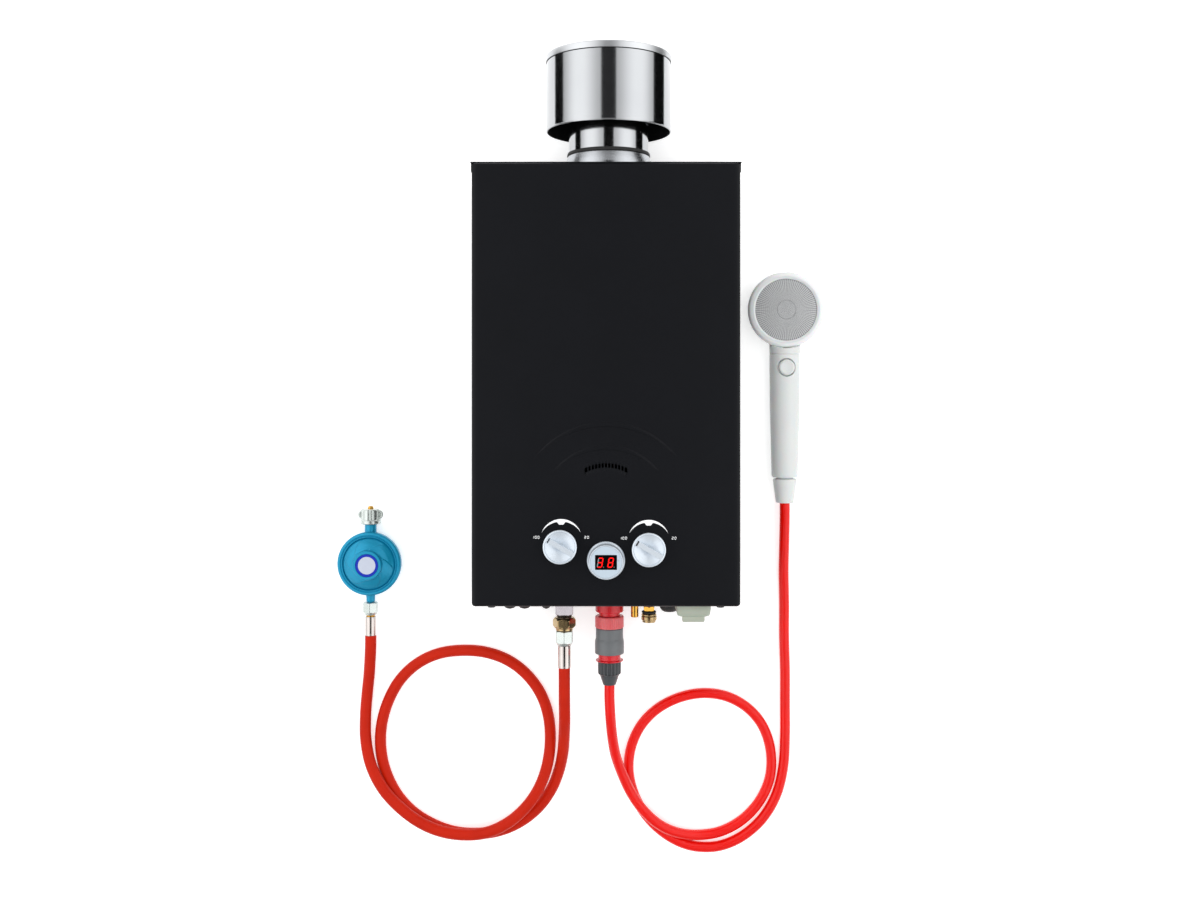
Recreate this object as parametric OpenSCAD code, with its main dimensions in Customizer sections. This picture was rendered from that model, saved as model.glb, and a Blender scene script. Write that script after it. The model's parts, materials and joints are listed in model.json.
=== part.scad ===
// Portable propane water heater with its gas hose, regulator, shower hose and handset.
// The heater lies on its back: +X to its right, +Y up towards the flue, +Z out of the front.
// The origin is the centre of the casing's footprint, on the face that it lies on.

/* [Casing] */
// Width of the casing
casing_w = 290; // [280:1:310]
// Height of the casing, with its top cover
casing_h = 480; // [470:1:520]
// Depth of the casing
casing_d = 145; // [143:1:165]
// Thickness of the steel sheet
sheet = 1.2; // [0.8:0.1:1.6]
// Radius of the front cover's front edges
edge_r = 5; // [3:0.5:8]
// Radius of the front cover's corners in front view
corner_r = 4; // [3:0.5:8]
// Width of the flange turned in along the cover's top and bottom
cover_flange = 14; // [12:1:20]
// Clearance between sheets that slide together
fit_gap = 0.3; // [0.2:0.05:0.4]
// Height of the back plate's side walls
back_wall = 24; // [18:1:30]
// Depth of the top cover's side lips
lid_lip = 10; // [6:1:16]
// Distance of each hanging keyhole from the middle
keyhole_x = 60; // [40:1:80]
// Distance of the keyholes from the top of the casing
keyhole_drop = 42; // [34:1:60]
// Radius of a keyhole's round opening
keyhole_r = 6; // [5:0.5:7]
// Radius of a keyhole's narrow neck
keyhole_neck_r = 3; // [2.5:0.25:3.5]
// Number of air louvres in the back plate, in each column
louvres = 6; // [3:1:8]
// Radius of a cover screw's shank
screw_r = 2; // [1.5:0.25:2.5]

/* [Front vent and emboss] */
// Height of the arcs' centre above the casing's foot
arc_up = 103.5; // [95:0.5:110]
// Radius of the open slot
slot_r = 49; // [45:0.5:52]
// Height of the open slot
slot_h = 4.5; // [3:0.5:6]
// Half of the angle that the slot spans
slot_half_angle = 28; // [20:1:34]
// Number of bars across the slot
slot_bars = 12; // [8:1:16]
// Width of one bar
slot_bar_w = 1.1; // [0.8:0.1:1.4]
// Radius of the lower embossed crescent
crescent_lower_r = 68; // [62:1:74]
// Radius of the upper embossed crescent
crescent_upper_r = 93; // [84:1:96]
// Thickness of a crescent at its middle
crescent_t = 5; // [3:0.5:7]
// Height of the embossing above the front
emboss_h = 1; // [0.6:0.1:1.5]

/* [Knobs and display] */
// Sideways place of the gas knob
gas_knob_x = -49; // [-56:0.5:-44]
// Height of the gas knob above the casing's foot
gas_knob_up = 67; // [60:0.5:72]
// Sideways place of the water knob
water_knob_x = 45.5; // [40:0.5:52]
// Height of the water knob above the casing's foot
water_knob_up = 64; // [58:0.5:70]
// Radius of a knob
knob_r = 18.2; // [16:0.1:20]
// Height of a knob above the front
knob_h = 20; // [16:0.5:24]
// Width of a knob's grip rib
knob_rib = 5.6; // [4:0.1:7]
// Angle of the grip rib, against the horizontal
knob_rib_angle = -30; // [-60:1:0]
// Radius of a knob's spindle
spindle_r = 3; // [2.5:0.1:4]
// Running clearance of a spindle, slide or pin, on the radius
running_gap = 0.05; // [0.02:0.01:0.09]
// Radius of the display's front disc
display_r = 18.5; // [17:0.5:20]
// Radius of the display's base ring
display_base_r = 20.5; // [20:0.5:22]
// Height of the display above the front
display_h = 16; // [12:0.5:18]
// Height of the display's centre above the casing's foot
display_up = 50.5; // [48:0.5:53]
// Width of the display window
window_w = 23.4; // [20:0.2:26]
// Height of the display window
window_h = 15.8; // [12:0.2:18]

/* [Flue and cap] */
// Sideways place of the flue
flue_x = 3; // [-6:1:6]
// Outer radius of the flue pipe
flue_r = 45; // [40:0.5:50]
// Wall of the flue's stainless sheet
flue_wall = 1; // [0.8:0.1:1.5]
// Outer radius of the cap's drum
drum_r = 70.5; // [64:0.5:71]
// Height of the drum
drum_h = 80; // [70:1:95]
// Height of the drum's open rim above the casing
drum_lift = 45; // [38:1:55]
// Height of the cap's lid band
lid_band = 6; // [4:0.5:9]
// Height of the skirt at the flue's foot
skirt_h = 20; // [16:0.5:26]
// Number of stays between the flue and the drum
stays = 3; // [3:1:4]

/* [Water connections] */
// Height of the ports above the back face
port_z = 52; // [48:1:58]
// Sideways place of the hot-water outlet
outlet_x = 4; // [0:1:8]
// Sideways place of the relief stub
stub_x = 33; // [31:0.5:35]
// Outer radius of the relief stub
stub_r = 4.4; // [4:0.1:5]
// Sideways place of the drain valve
drain_x = 49.5; // [48:0.5:51]
// Radius of the drain valve's knurled cap
drain_cap_r = 8.8; // [8:0.1:9.5]
// Sideways place of the cold-water inlet
inlet_x = 73; // [71:0.5:76]
// Outer radius of the half-inch pipe thread
thread_r = 10.4; // [10:0.1:10.5]
// Travel of the quick connector's sleeve
sleeve_travel = 5; // [3:0.5:6]
// Outer radius of the quick connector's sleeve
sleeve_r = 16; // [15.5:0.1:17]
// Outer radius of the quick connector's core
core_r = 12.75; // [12:0.05:13.25]
// Number of grip ribs round the connector's ring and nut
grip_ribs = 24; // [16:1:28]

/* [Gas connections] */
// Sideways place of the gas inlet
gas_x = -48; // [-52:1:-44]
// Width across flats of the gas inlet's hexagon
inlet_hex = 20.3; // [18:0.1:22]
// Width across flats of the union nut
union_hex = 23.3; // [22:0.1:25]
// Width across flats of the hose nut
hose_nut_hex = 19.2; // [17:0.1:21]
// Outer radius of the gas hose
gas_hose_r = 6.65; // [6:0.05:6.7]
// Outer radius of the crimped ferrules
ferrule_r = 7.6; // [7.2:0.1:8.5]

/* [Regulator] */
// Sideways place of the regulator
reg_x = -278; // [-282:1:-274]
// Height of the regulator's centre above the casing's middle
reg_y = -211; // [-214:1:-208]
// Height of the regulator's ports above the surface
reg_port_z = 17; // [16:0.5:20]
// Outer radius of the regulator
reg_r = 37; // [34:0.5:39]
// Height of the regulator's lower bowl
reg_bowl_h = 24; // [24:0.5:28]
// Height of the regulator's domed cover
reg_cover_h = 18; // [14:0.5:22]
// Number of swirl ribs on the domed cover
reg_ribs = 6; // [5:1:8]
// Radius of the regulator's hand wheel across its wings
wheel_r = 15; // [13:0.5:15.5]

/* [Battery box] */
// Sideways place of the battery box
battery_x = 95.5; // [92:0.5:98]
// Radius of a D cell
cell_r = 17.1; // [16.5:0.1:17.2]
// Length of a D cell with its button
cell_l = 61.5; // [58:0.5:62]
// Wall of the battery box
box_wall = 1.4; // [1:0.1:2]
// Depth of the battery lid below the base
battery_lid_h = 12; // [9:0.5:15]

/* [Handset] */
// Sideways place of the handset
hand_x = 211; // [207:1:215]
// Height of the handset's head centre above the casing's middle
head_y = 87; // [83:1:91]
// Radius of the handset's head
head_r = 44.5; // [40:0.5:48]
// Thickness of the handset's head
head_t = 32; // [28:0.5:36]
// Radius of the spray plate
plate_r = 36; // [32:0.5:38]
// Radius of the handle at its neck
handle_r = 18; // [16:0.5:19]
// Radius of the handle at its hose end
handle_end_r = 15; // [13:0.5:16]
// Distance from the head's centre to the handle's hose end
handle_l = 193; // [188:1:198]
// Distance from the head's centre to the button
button_drop = 67.5; // [64:0.5:74]
// Radius of the handset's button
button_r = 9.15; // [8:0.05:10]
// Travel of the handset's button
button_travel = 2.5; // [1.5:0.25:3]

/* [Shower hose] */
// Outer radius of the shower hose
water_hose_r = 6; // [5.5:0.05:6.1]

/* [Hidden] */
$fn = 64;

// Casing planes
top_y = casing_h / 2;
base_y = -casing_h / 2;
arc_y = base_y + arc_up;
gas_knob_y = base_y + gas_knob_up;
water_knob_y = base_y + water_knob_up;
display_y = base_y + display_up;
cover_h = casing_h - sheet;
cover_lift = 0.6;
back_w = casing_w - 2 * sheet - 2 * fit_gap;
base_outer_y = base_y + sheet + fit_gap;
base_inner_y = base_outer_y + sheet;
base_w = back_w - 2 * corner_r;
plate_top_z = casing_d - edge_r - fit_gap;
lid_under_y = top_y - sheet;
knob_base_z = casing_d + fit_gap;
screw_x = casing_w / 2 - 21;
screw_head_r = 4;
screw_head_h = 1.8;
front_screw_z = casing_d - cover_flange + 3.5;
back_screw_z = 14;

// Base plugs: sideways place and radius of each dome, and their height above the back face
plugs = [[-106, 7.9], [-89.8, 7.9], [-66, 6]];
plug_z = 110;
plug_stem_r = 4;

// Flue heights
flue_z = casing_d / 2;
skirt_r = flue_r + 2.5;
rim_y = top_y + drum_lift;
drum_top_y = rim_y + drum_h;
flue_top_y = rim_y + 22;

// Inner works: the chamber hangs from the flue, the valves stand on the base
chamber_w = casing_w - 114;
chamber_z0 = 26;
chamber_z1 = casing_d - 27;
chamber_l = 183;
chamber_wall = 1.2;
flue_tail = 14;
hood_h = 24;
hood_band = 6;
hood_throat = flue_r + 13;
hood_top_y = top_y - sheet - flue_tail;
chamber_y1 = hood_top_y - hood_h - hood_band;
chamber_y0 = chamber_y1 - chamber_l;
fins = 22;
fin_l = 34;
fin_t = 0.8;
fin_y = chamber_y1 - fin_l - 8;
fin_tube_r = 7;
coil_r = 5;
burner_l = 42;
burner_y1 = chamber_y0;
burner_y0 = burner_y1 - burner_l;
burner_bars = 10;
burner_bar_t = 3;
manifold_r = 9;
manifold_rise = 17;
valve_l = 53;
valve_lift = 37;
valve_base_y = base_y + valve_lift;
valve_top_y = valve_base_y + valve_l;
water_valve_l = 40;
gas_valve_w = 44;
gas_valve_d = 64;
gas_valve_z = 34;
water_valve_z = 38;
water_valve_d = 28;
diaphragm_r = 22;
diaphragm_h = 14;
bonnet_h = 30;
valve_foot_w = 20;
valve_foot_l = 28;
bush_top_z = casing_d - 15;
bush_r = 7;
stem_l = 32;
igniter_w = 34;
igniter_l = 52;
igniter_h = 26;
igniter_x = chamber_w / 2 + 12;
igniter_drop = 40;
igniter_y = burner_y0 - igniter_drop;
spark_rise = 58;
pipe_r = 6.5;
pipe_z = 15;
pipe_drop = 22;
pipe_run = 54;
hot_port_rise = 138;
cold_port_rise = 58;
hot_port_y = chamber_y0 + hot_port_rise;
cold_port_y = chamber_y0 + cold_port_rise;

// Lengths of the stacked fittings, each from the one before
gas_hex_y = base_y - 18;
gas_taper_y = gas_hex_y - 7.5;
union_y = gas_taper_y - 3;
union_l = 15;
hose_nut_y = union_y - union_l - fit_gap;
hose_nut_l = 17;
ferrule_y = hose_nut_y - hose_nut_l;
ferrule_l = 26.2;

adapter_y = base_y - 18;
adapter_flange = 4;
adapter_neck = 4.6;
adapter_ring = 13.7;
ring_end_y = adapter_y - adapter_flange - adapter_neck - adapter_ring;
core_y = ring_end_y - fit_gap;
sleeve_l = 29.3;
core_spare = 2.1;
core_l = sleeve_l + sleeve_travel + core_spare;
core_flange = 1.6;
nut_y = core_y - core_l - core_flange;
nut_l = 15;
cone_l = 12.4;

stub_collar = 3.9;
stub_l = 26;

reg_flange_h = 6.4;
reg_neck_l = 8.5;
reg_neck_r = 6.9;
reg_wheel_l = 17.7;
reg_outlet_r = 5.3;
reg_outlet_l = 9;
reg_nut_hex = 16.4;
reg_nut_l = 15.8;
reg_ferrule_l = 22.9;
reg_ferrule_r = 6.6;
reg_outlet_y = reg_y - reg_r - reg_outlet_l;

box_w = 2 * cell_r + 0.6 + 2 * box_wall;
box_z = casing_d - cover_flange - box_w - 2 * fit_gap;
box_l = 2 * cell_l + 6;
box_y0 = base_outer_y - 3;
hinge_r = 1.2;
knuckle_r = 1.9;
hinge_z = box_z - knuckle_r - fit_gap;
hinge_y = box_y0 - fit_gap - 3;

handle_z = handle_r;
handle_end_y = head_y - handle_l;
button_y = head_y - button_drop;
button_top_z = 2 * handle_r + 1.2;
hand_nut_gap = 5.5;
hand_nut_l = 28.5;
hand_nut_y = handle_end_y - hand_nut_gap;

// Routes of the two hoses, point by point along each, in the row's frame
gas_route = [[-48, -327, 52], [-48, -346, 52], [-48, -366, 50], [-48, -388, 43], [-49, -411, 31],
    [-51, -435, 19], [-56, -459, 10], [-65, -482, 6.8], [-80, -503, 6.7], [-101, -520, 6.7],
    [-126, -531, 6.7], [-153, -535, 6.7], [-180, -533, 6.7], [-206, -524, 6.7], [-230, -509, 6.7],
    [-249, -488, 6.7], [-262, -462, 6.7], [-268, -434, 6.7], [-267, -405, 6.7], [-259, -377, 6.7],
    [-245, -352, 6.7], [-225, -333, 6.7], [-200, -321, 6.7], [-172, -317, 6.7], [-144, -319, 6.7],
    [-118, -328, 6.7], [-96, -344, 6.7], [-79, -366, 7], [-69, -392, 8.5], [-66, -420, 12],
    [-69, -448, 17], [-78, -474, 20.5], [-93, -497, 21], [-114, -516, 21], [-139, -528, 21],
    [-166, -531, 21], [-194, -527, 21], [-220, -516, 21], [-244, -498, 20.8], [-264, -476, 19.5],
    [-278, -450, 16], [-285, -422, 10.5], [-286, -394, 7.2], [-284, -368, 7.6], [-281, -344, 11],
    [-279, -323, 15], [-278, -308, 17], [-278, -297, 17]];
water_route = [[4, -346, 52], [4, -362, 52], [5, -383, 49], [7, -408, 40], [11, -434, 29],
    [19, -459, 21], [30, -483, 18.8], [45, -504, 18.6], [64, -521, 17.6], [87, -532, 13.4],
    [112, -536, 8], [138, -532, 6.1], [163, -518, 6.1], [183, -496, 6.1], [195, -468, 6.1],
    [196, -437, 6.1], [187, -408, 6.1], [169, -386, 6.1], [144, -372, 6.1], [116, -368, 6.1],
    [88, -373, 6.1], [62, -386, 6.1], [42, -406, 6.1], [30, -432, 6.1], [27, -460, 6.1],
    [33, -487, 6.1], [46, -511, 6.1], [65, -531, 6.1], [88, -545, 6.1], [112, -551, 6.1],
    [138, -549, 6.1], [164, -537, 6.1], [187, -516, 6.1], [203, -488, 6.1], [211, -455, 6.1],
    [213, -419, 6.1], [213, -380, 6.1], [213, -340, 6.1], [212, -300, 6.1], [212, -260, 6.5],
    [211, -222, 9], [211, -190, 13.5], [211, -162, 17.4], [211, -149, 18], [211, -140, 18]];
hose_sides = 10;

// ---- Shared shapes ----

// Turns a piece drawn along +Z so that it points down, away from the base
module pointing_down(x, y, z) {
    translate([x, y, z]) rotate([90, 0, 0]) children();
}

// Turns a piece drawn along +Z so that it points up, away from the top
module pointing_up(x, y, z) {
    translate([x, y, z]) rotate([-90, 0, 0]) children();
}

module tube(outer, inner, length) {
    difference() {
        cylinder(r = outer, h = length);
        translate([0, 0, -1]) cylinder(r = inner, h = length + 2);
    }
}

module hexagon(across, length) {
    cylinder(d = across / cos(30), h = length, $fn = 6);
}

// A round grip with raised ribs, from 0 to length
module ribbed(radius, length, rib, count) {
    cylinder(r = radius - rib / 2, h = length);
    for (i = [0 : count - 1])
        rotate([0, 0, i * 360 / count])
            translate([radius - rib, -rib / 2, 0.6]) cube([rib, rib, length - 1.2]);
}

module rounded_rect(w, h, r) {
    square([w - 2 * r, h], center = true);
    square([w, h - 2 * r], center = true);
    for (sx = [-1, 1], sy = [-1, 1])
        translate([sx * (w / 2 - r), sy * (h / 2 - r)]) circle(r);
}

// A section that is w wide and d deep, with its two front corners rounded
module front_section(w, d, r) {
    translate([-w / 2, 0]) square([w, d - r]);
    translate([r - w / 2, 0]) square([w - 2 * r, d]);
    for (s = [-1, 1]) translate([s * (w / 2 - r), d - r]) circle(r);
}

// A solid with a rounded outline and rounded front edges
module rounded_pan(w, h, d, outline_r, front_r) {
    intersection() {
        linear_extrude(d) rounded_rect(w, h, outline_r);
        rotate([90, 0, 0]) linear_extrude(h + 2, center = true) front_section(w, d, front_r);
        rotate([90, 0, 90]) linear_extrude(w + 2, center = true) front_section(h, d, front_r);
    }
}

// A hose swept along a route, ring by ring, each ring square to the route there
function along(p, i) = i == 0 ? p[1] - p[0]
    : i == len(p) - 1 ? p[i] - p[i - 1] : (p[i + 1] - p[i - 1]);
function unit(v) = v / norm(v);
function ring(p, i, r, n) =
    let (t = unit(i == 0 || i == len(p) - 1 ? [0, -1, 0] * sign_y(p, i) : along(p, i)),
         side = unit(cross(t, [0, 0, 1])), top = cross(side, t))
    [for (k = [0 : n - 1]) p[i] + r * (side * cos(360 * k / n) + top * sin(360 * k / n))];
function sign_y(p, i) = along(p, i)[1] < 0 ? 1 : -1;

module swept_hose(p, r, n) {
    rings = len(p);
    points = [for (i = [0 : rings - 1]) each ring(p, i, r, n)];
    sides = [for (i = [0 : rings - 2], k = [0 : n - 1])
        let (a = i * n + k, b = i * n + (k + 1) % n)
        each [[a, b, b + n], [a, b + n, a + n]]];
    first = [for (k = [1 : n - 2]) [0, k + 1, k]];
    end = (rings - 1) * n;
    last = [for (k = [1 : n - 2]) [end, end + k, end + k + 1]];
    polyhedron(points, concat(sides, first, last));
}

// The least gap between turns of a hose, between points along its route that are a bend apart
function finer(p, n) = [for (i = [0 : len(p) - 2], k = [0 : n - 1]) p[i] + (p[i + 1] - p[i]) * k / n];
function least_gap(p, r, apart = 12) = let (q = finer(p, 5), n = len(q))
    min([for (i = [0 : n - 1 - apart], j = [i + apart : n - 1]) norm(q[i] - q[j])]) - 2 * r;
echo(gas_hose_gap = least_gap(gas_route, gas_hose_r), water_hose_gap = least_gap(water_route, water_hose_r));

// ---- Casing ----

module keyhole() {
    translate([0, 0, -1]) cylinder(r = keyhole_r, h = sheet + 2);
    translate([-keyhole_neck_r, 0, -1]) cube([2 * keyhole_neck_r, 2.2 * keyhole_r, sheet + 2]);
    translate([0, 2.2 * keyhole_r, -1]) cylinder(r = keyhole_neck_r, h = sheet + 2);
}

module back_plate() {
    bottom = base_outer_y;
    height = lid_under_y - bottom;
    color("#1f2022") difference() {
        union() {
            translate([-back_w / 2, bottom, 0]) cube([back_w, height, sheet]);
            for (s = [-1, 1])
                translate([s * (back_w / 2 - sheet / 2) - sheet / 2, bottom + 26, 0])
                    cube([sheet, height - 26, back_wall]);
            translate([-back_w / 2, lid_under_y - sheet, 0]) cube([back_w, sheet, back_wall]);
        }
        for (s = [-1, 1]) {
            translate([s * keyhole_x, top_y - keyhole_drop, 0]) keyhole();
            for (i = [0 : louvres - 1])
                translate([s * 80 - 24, -90 + i * 14, -1]) cube([48, 4, sheet + 2]);
            pointing_down(s * screw_x, lid_under_y + 1, back_screw_z)
                cylinder(r = screw_r + 0.1, h = sheet + 2);
        }
    }
}

module base_plate() {
    color("#1f2022") difference() {
        union() {
            translate([-base_w / 2, base_outer_y, sheet]) cube([base_w, sheet, plate_top_z - sheet]);
            translate([-base_w / 2, base_outer_y, sheet]) cube([base_w, 20, sheet]);
        }
        for (port = [[gas_x, 8], [outlet_x, 10], [stub_x, stub_r + 0.2], [drain_x, 6.2],
                     [inlet_x, thread_r + 0.3]])
            pointing_down(port[0], base_y + 10, port_z) cylinder(r = port[1], h = 20);
        for (plug = plugs)
            pointing_down(plug[0], base_y + 10, plug_z) cylinder(r = plug_stem_r + 0.1, h = 20);
        for (s = [-1, 1])
            pointing_down(s * screw_x, base_y + 10, front_screw_z)
                cylinder(r = screw_r + 0.1, h = 20);
        translate([battery_x - box_w / 2 - 0.2, base_y - 5, box_z - 0.2])
            cube([box_w + 0.4, 12, box_w + 0.4]);
    }
}

module front_cover() {
    color("#1b1b1d") difference() {
        union() {
            translate([0, -sheet / 2, 0]) difference() {
                rounded_pan(casing_w, cover_h, casing_d, corner_r, edge_r);
                rounded_pan(casing_w - 2 * sheet, cover_h - 2 * sheet, casing_d - sheet,
                    corner_r - sheet, edge_r - sheet);
                translate([0, 0, -1]) linear_extrude(casing_d - cover_flange + 1)
                    square([casing_w - 2 * sheet, casing_h + 2], center = true);
            }
            for (r = [crescent_lower_r, crescent_upper_r])
                translate([0, arc_y, casing_d - sheet / 2]) crescent(r);
        }
        translate([0, 0, -1]) linear_extrude(cover_lift + 1) square([casing_w + 2, casing_h + 2], center = true);
        translate([0, arc_y, casing_d - 5]) slot_openings();
        for (k = [[gas_knob_x, gas_knob_y], [water_knob_x, water_knob_y]])
            translate([k[0], k[1], casing_d - 5]) cylinder(r = spindle_r + 3, h = 10);
        translate([0, display_y, casing_d - 5]) cylinder(r = 5, h = 10);
        for (s = [-1, 1])
            pointing_down(s * screw_x, base_y + 10, front_screw_z)
                cylinder(r = screw_r + 0.1, h = 20);
    }
}

// A raised crescent whose ends taper to points
module crescent(r) {
    shift = 3 * crescent_t;
    linear_extrude(emboss_h + sheet / 2) intersection() {
        difference() {
            circle(r + crescent_t / 2);
            translate([0, -shift]) circle(r - crescent_t / 2 + shift);
        }
        translate([-r, 0]) square([2 * r, 2 * r]);
    }
}

// The arched air slot, left as gaps between its bars
module slot_openings() {
    reach = 2 * slot_r;
    linear_extrude(10) difference() {
        intersection() {
            difference() {
                circle(slot_r + slot_h / 2);
                circle(slot_r - slot_h / 2);
            }
            polygon([[0, 0], [reach * sin(-slot_half_angle), reach * cos(slot_half_angle)],
                [reach * sin(slot_half_angle), reach * cos(slot_half_angle)]]);
        }
        for (i = [1 : slot_bars])
            translate([slot_r * sin(slot_half_angle) * (2 * i / (slot_bars + 1) - 1) - slot_bar_w / 2, 0])
                square([slot_bar_w, reach]);
    }
}

module top_cover() {
    lip_x = casing_w / 2;
    color("#1f2022") difference() {
        union() {
            translate([-lip_x - 1.5, lid_under_y, sheet]) cube([casing_w + 3, sheet, casing_d - 5 - sheet]);
            for (s = [-1, 1])
                translate([s > 0 ? lip_x + fit_gap : -lip_x - 1.5, top_y - lid_lip, sheet])
                    cube([1.5 - fit_gap, lid_lip, casing_d - 12]);
        }
        pointing_up(flue_x, lid_under_y - 5, flue_z) cylinder(r = flue_r + fit_gap, h = 15);
        for (s = [-1, 1])
            pointing_up(s * screw_x, lid_under_y - 5, back_screw_z)
                cylinder(r = screw_r + 0.1, h = 15);
    }
}

// Blanking plugs: a dome outside, a stem through the sheet and a snap ring inside
module base_plugs() {
    color("#161616") for (plug = plugs)
        pointing_down(plug[0], base_outer_y, plug_z) {
            intersection() {
                translate([0, 0, 10 - plug[1] * 1.2]) sphere(r = plug[1] * 1.2);
                cylinder(r = plug[1], h = 20);
            }
            translate([0, 0, -sheet]) cylinder(r = plug_stem_r, h = sheet + 1);
            translate([0, 0, -sheet - 2.5]) cylinder(r = plug_stem_r + 1.4, h = 2.5);
        }
}

module cover_screw(grip) {
    cylinder(r = screw_r, h = grip + 4);
    translate([0, 0, -screw_head_h]) difference() {
        cylinder(r = screw_head_r, h = screw_head_h);
        for (a = [0, 90]) rotate([0, 0, a]) translate([-2.5, -0.5, -1]) cube([5, 1, 1.9]);
    }
}

module cover_screws() {
    color("#3a3b3d") for (s = [-1, 1]) {
        pointing_up(s * screw_x, base_y, front_screw_z) cover_screw(2 * sheet + fit_gap);
        pointing_down(s * screw_x, top_y, back_screw_z) cover_screw(2 * sheet);
    }
}

// ---- Flue and cap ----

module flue_skirt() {
    h = skirt_h;
    color("#b9bcc0") pointing_up(flue_x, top_y, flue_z) difference() {
        rotate_extrude() polygon([[flue_r + fit_gap, 0], [skirt_r + 5, 0], [skirt_r + 5, 1],
            [skirt_r + 2.5, 1.6], [skirt_r + 2.5, 5], [skirt_r + 1, 6.5], [skirt_r, h - 3],
            [skirt_r + 1, h - 1.5], [skirt_r, h], [flue_r + fit_gap, h]]);
        for (i = [0 : 3]) rotate([0, 0, 45 + 90 * i])
            translate([skirt_r + 3.9, 0, -1]) cylinder(r = 0.8, h = 4, $fn = 16);
    }
}

module flue_pipe() {
    color("#c6c9cc") pointing_up(flue_x, lid_under_y - flue_tail, flue_z)
        rotate_extrude() polygon(let (h = flue_top_y - lid_under_y + flue_tail, w = flue_wall)
            [[flue_r - w, 0], [flue_r, 0], [flue_r, h - 2], [flue_r + 0.8, h - 1], [flue_r, h],
             [flue_r - w, h]]);
}

// Sheet stays that carry the drum on the flue pipe
module cap_stays() {
    inner = flue_r + 0.8;
    outer = drum_r - flue_wall;
    color("#aeb1b5") for (i = [0 : stays - 1])
        pointing_up(flue_x, rim_y + 8, flue_z) rotate([0, 0, i * 360 / stays - 10]) {
            translate([inner + 0.1, -7, 5]) cube([outer - inner - 0.6, 14, 1.2]);
            intersection() {
                translate([inner - 2, -7, -1]) cube([6, 14, 10]);
                tube(inner + 1.3, flue_r, 7);
            }
            intersection() {
                translate([outer - 8, -7, -1]) cube([10, 14, 12]);
                translate([0, 0, 5]) tube(outer, outer - 1.3, 5);
            }
        }
}

module cap_drum() {
    color("#c6c9cc") pointing_up(flue_x, rim_y, flue_z)
        rotate_extrude() polygon(let (r = drum_r, w = flue_wall, h = drum_h)
            [[r - w, 0], [r, 0], [r + 0.3, 0.7], [r, 1.4], [r, h], [r - w, h]]);
}

// The lid's band steps out over the drum, and its plate is a shallow dished disc
module cap_lid() {
    w = flue_wall;
    color("#b3b6ba") pointing_up(flue_x, drum_top_y, flue_z) {
        rotate_extrude() polygon([[0, 1.6], [drum_r - 9, 0.6], [drum_r - 7, -1], [drum_r - w - 0.3, -1],
            [drum_r - w - 0.3, 0], [drum_r + 0.7, 0], [drum_r + 0.7, lid_band - 1],
            [drum_r, lid_band], [drum_r - 1, lid_band - 0.6], [drum_r - 4, 2.4], [0, 3.4]]);
        for (i = [0 : stays - 1]) rotate([0, 0, 30 + i * 360 / stays])
            translate([drum_r - 9, -3, 1]) cube([5, 6, 2.4]);
    }
}

// ---- Knobs, spindles and display ----

module knob(x, y) {
    top = knob_h - fit_gap;
    rim = knob_r - 1.3;
    color("#d5dde6") translate([x, y, knob_base_z]) difference() {
        rotate_extrude() polygon([[0, 0], [knob_r - 0.6, 0], [knob_r, 0.6], [knob_r, 3],
            [knob_r - 0.7, 5], [knob_r - 1, top - 2.2], [knob_r - 1.7, top - 0.7],
            [knob_r - 3.2, top], [0, top]]);
        rotate([0, 0, knob_rib_angle]) {
            for (a = [0, 180]) rotate([0, 0, a]) knob_scoop(top, rim);
            translate([-knob_r - 1, -0.6, top - 3.5]) cube([6.5, 1.2, 5]);
        }
        translate([0, 0, -1]) cylinder(r = spindle_r + running_gap, h = knob_h - 6);
        translate([0, 0, -1]) tube(knob_r - 3, spindle_r + 3, 4);
    }
}

// One finger scoop: its floor is deepest beside the rib and rises outwards
module knob_scoop(top, rim) {
    depth = 9.5;
    intersection() {
        translate([0, 0, -1]) cylinder(r = rim, h = top + 5);
        translate([-knob_r, knob_rib / 2, top - depth]) rotate([28, 0, 0])
            cube([2 * knob_r, 3 * knob_r, 2 * depth + 10]);
        translate([-knob_r, knob_rib / 2, 0]) cube([2 * knob_r, 2 * knob_r, top + 5]);
    }
}

module gas_knob() knob(gas_knob_x, gas_knob_y);
module water_knob() knob(water_knob_x, water_knob_y);

// A spindle with a flat for its knob
module spindle(x, y) {
    end_z = knob_base_z + knob_h - 7.5;
    color("#c9b27a") difference() {
        translate([x, y, bush_top_z - stem_l]) cylinder(r = spindle_r, h = end_z - bush_top_z + stem_l);
        translate([x - spindle_r, y + spindle_r - 0.8, casing_d + 4]) cube([2 * spindle_r, 2, 20]);
    }
}

module gas_spindle() spindle(gas_knob_x, gas_knob_y);
module water_spindle() spindle(water_knob_x, water_knob_y);

module display_bezel() {
    h = display_h;
    color("#d5dde6") translate([0, display_y, casing_d]) difference() {
        rotate_extrude() polygon([[0, 0], [display_base_r - 0.5, 0], [display_base_r, 0.5],
            [display_base_r, 2.6], [display_base_r - 0.8, 3.4], [display_r + 0.4, 3.4],
            [display_r, h - 1.6], [display_r - 0.5, h - 0.5], [display_r - 1.6, h], [0, h]]);
        translate([-window_w / 2, -window_h / 2, h - 2]) cube([window_w, window_h, 4]);
        translate([0, 0, -1]) cylinder(r = 5, h = 4);
        translate([-window_w / 2 + 1.5, -window_h / 2 + 1.5, 2])
            cube([window_w - 3, window_h - 3, h]);
    }
}

module display_window() {
    color("#3a0c0c") translate([0, display_y, casing_d + display_h - 2])
        translate([-window_w / 2, -window_h / 2, 0]) cube([window_w, window_h, 1.4]);
}

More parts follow.
